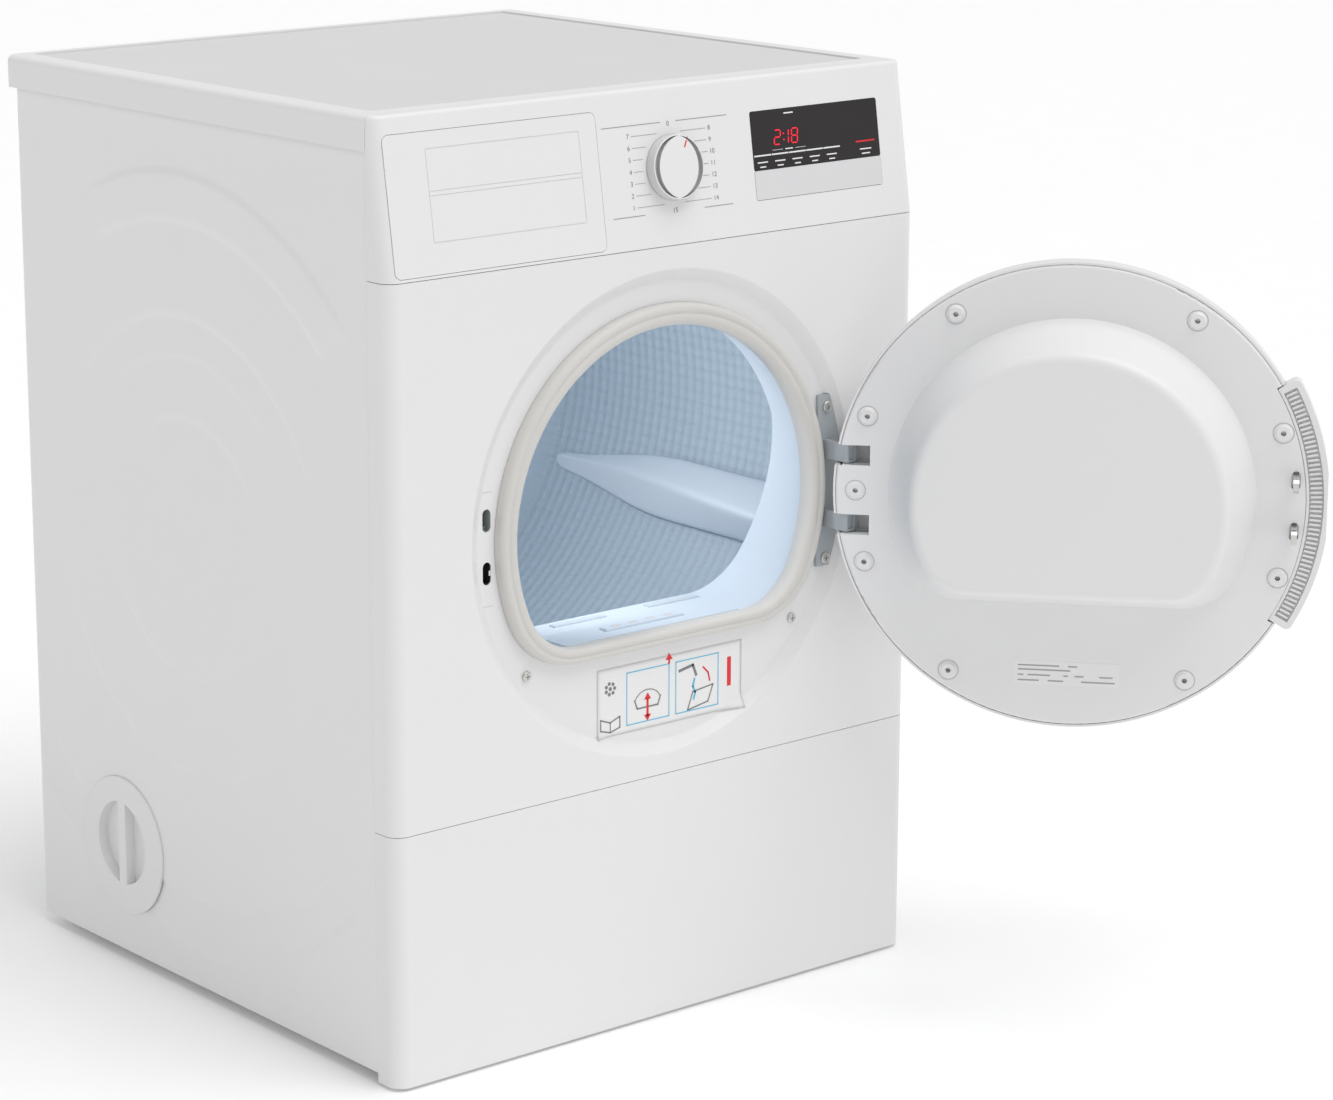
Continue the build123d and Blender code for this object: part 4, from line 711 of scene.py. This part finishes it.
def notch_liners():
    """Pale pockets inside the two notches that the hinge arms reach through, a little brighter than the white
    plastic as painted light against their shade.
    """
    x0, x1, deep, face, half = OPEN_X + 179.6, OPEN_X + 205.0, -33.6, DOOR_FACE - 0.3, 9.6
    for side, name in ((1, "upper"), (-1, "lower")):
        z = OPEN_Z + side * ARM_RISE
        rim = [(x1, z - half), (x0, z - half), (x0, z + half), (x1, z + half)]
        points = [on_door(x, depth, v) for depth in (face, deep) for x, v in rim]
        faces = [(0, 1, 5, 4), (1, 2, 6, 5), (2, 3, 7, 6), (4, 5, 6, 7)]
        liner = piece(f"notch_liner_{name}", points, faces, "door", NOTCH_WHITE_LIT, "white_plastic",
                      smooth=False)
        skin = liner.modifiers.new("Thickness", "SOLIDIFY")
        skin.thickness = 0.8 * MM
        skin.offset = 0.0


def latch_surround():
    """Faint outline of the insert round the latch slots, open pockets inside them with the lower one near black as
    painted shade, a tab in the lower.
    """
    place = on_front(8.0)
    insert = ribbon([(-186, 415), (-200.5, 415), (-203, 440), (-203, 490), (-200.5, 515), (-186, 515)], 0.5)
    marks("latch_insert_line", insert, place, "cabinet", PALE_LINES_AND_SHADE, "white_plastic", 0.0)
    x = OPEN_X - 196.0
    for side, name, finish in ((1, "upper", GREEN_GREY), (-1, "lower", SHADE_BLACK)):
        z = OPEN_Z + side * LATCH_RISE
        rim = rectangle(x - 4.4, x + 4.4, z - 9.8, z + 9.8)
        points = [at(a, depth, b) for depth in (9.4, 24.0) for a, b in rim]
        faces = [(0, 1, 5, 4), (1, 2, 6, 5), (2, 3, 7, 6), (3, 0, 4, 7), (4, 5, 6, 7)]
        piece(f"latch_pocket_{name}", points, faces, "cabinet", finish, "grey_plastic", smooth=False)
    z = OPEN_Z - LATCH_RISE
    marks("latch_tab", [rectangle(x + 2.8, x + 4.4, z - 2.2, z + 2.2)], on_front(9.0), "cabinet", LABEL,
          "white_plastic", 0.0)


# ---- lint filter ----
def filter_slots():
    """Grip slots on top of the lint filter, drawn as flat pale grey marks: painted shade for the slots' depth."""
    low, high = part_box("lint_filter")
    place = lambda x, depth, lift=0.0: Vector((x * MM, FRONT + depth * MM, high.z + lift * MM))
    slots = [rectangle(OPEN_X + x - 5, OPEN_X + x + 5, 33, 39) for x in (-30, -10, 10, 30)]
    marks("filter_slots", slots, place, "filter", PAINTED_SHADE_GREY, "grey_plastic", 0.0)


# ---- rear panel ----
def rear_screws():
    """Domed hexagon heads with washers along the rear panel's edges and round its air cover."""
    face = (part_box("rear_panel")[1].y - FRONT) / MM
    spots = [(x, z) for x in (-286, 286) for z in (40, 190, 340, 490, 640, 790)]
    spots += [(x, z) for x in (-150, 0, 150) for z in (22, 800)]
    for turn in range(-40, 221, 52):
        a = math.radians(turn)
        spots.append((232 * math.cos(a), DRUM_Z + 232 * math.sin(a)))
    points, faces = [], []
    for x, z in spots:
        rings = []
        for radius, out in ((6.4, 0.0), (6.4, 0.8), (4.0, 0.8), (3.9, 2.6), (2.6, 3.2)):
            rings.append([at(px, face + out, pz) for px, pz in circle(x, z, radius, 12)])
        join(points, faces, lofted(rings))
    piece("rear_screws", points, faces, "cabinet", STEEL, "bright_steel", smooth=False)


# ---- camera, light, floor ----
def camera():
    """The photograph's view: a long lens at chest height, to the front left."""
    data = bpy.data.cameras.new("view")
    data.sensor_width = 36.0
    data.lens = 104.16
    data.shift_x = 0.1168
    data.shift_y = -0.0130
    data.clip_end = 200.0
    eye = bpy.data.objects.new("view", data)
    bpy.context.scene.collection.objects.link(eye)
    yaw, pitch, roll = -0.665833, -0.241042, -0.006023
    forward = Vector((-math.sin(yaw) * math.cos(pitch), math.cos(yaw) * math.cos(pitch), math.sin(pitch)))
    right = Vector((math.cos(yaw), math.sin(yaw), 0))
    up = right.cross(forward)
    tilted_right = right * math.cos(roll) + up * math.sin(roll)
    tilted_up = up * math.cos(roll) - right * math.sin(roll)
    axes = Matrix((tilted_right, tilted_up, -forward)).transposed()
    eye.matrix_world = Matrix.Translation(at(-2139.5, -2504.6, 1261.3)) @ axes.to_4x4()
    bpy.context.scene.camera = eye


def drum_light():
    """A weak disc of light just inside the opening, as the drum's own lamp gives."""
    place, target = at(-60, 110, OPEN_Z + 100), at(120, 400, 430)
    data = bpy.data.lights.new("drum_glow", "AREA")
    data.shape = "DISK"
    data.size = 0.16
    data.energy = 0.98
    lamp = bpy.data.objects.new("drum_glow", data)
    bpy.context.scene.collection.objects.link(lamp)
    lamp.location = place
    lamp.rotation_euler = (target - place).to_track_quat("-Z", "Y").to_euler()


def studio():
    """Even white surroundings, a broad soft sun and a plain pale floor."""
    world = bpy.data.worlds.new("studio")
    bpy.context.scene.world = world
    world.use_nodes = True
    world.node_tree.nodes["Background"].inputs["Color"].default_value = (1.0, 1.0, 1.0, 1)
    world.node_tree.nodes["Background"].inputs["Strength"].default_value = 0.6
    sun = bpy.data.lights.new("soft_sun", "SUN")
    sun.energy = 1.55
    sun.angle = math.radians(50)
    lamp = bpy.data.objects.new("soft_sun", sun)
    bpy.context.scene.collection.objects.link(lamp)
    lamp.rotation_euler = Vector((-0.16, 0.36, -0.92)).to_track_quat("-Z", "Y").to_euler()
    drum_light()
    bpy.ops.mesh.primitive_plane_add(size=60)
    floor = bpy.context.object
    floor.name = "studio_floor"
    floor.data.materials.append(glow("floor_white", (0.93, 0.93, 0.93), 0.1))
    view = bpy.context.scene.view_settings
    view.view_transform = "Standard"
    view.look = "None"
    view.exposure = 0.0


dress_frame()
door_seal()
side_panel(-1, "side_panel_left")
side_panel(1, "side_panel_right")
lifters()
dial_print()
knob()
knob_pointer()
led_digits()
display_print()
care_label()
door_sticker()
handle_ribs()
boss_rings()
notch_liners()
latch_surround()
filter_slots()
rear_screws()
camera()
studio()
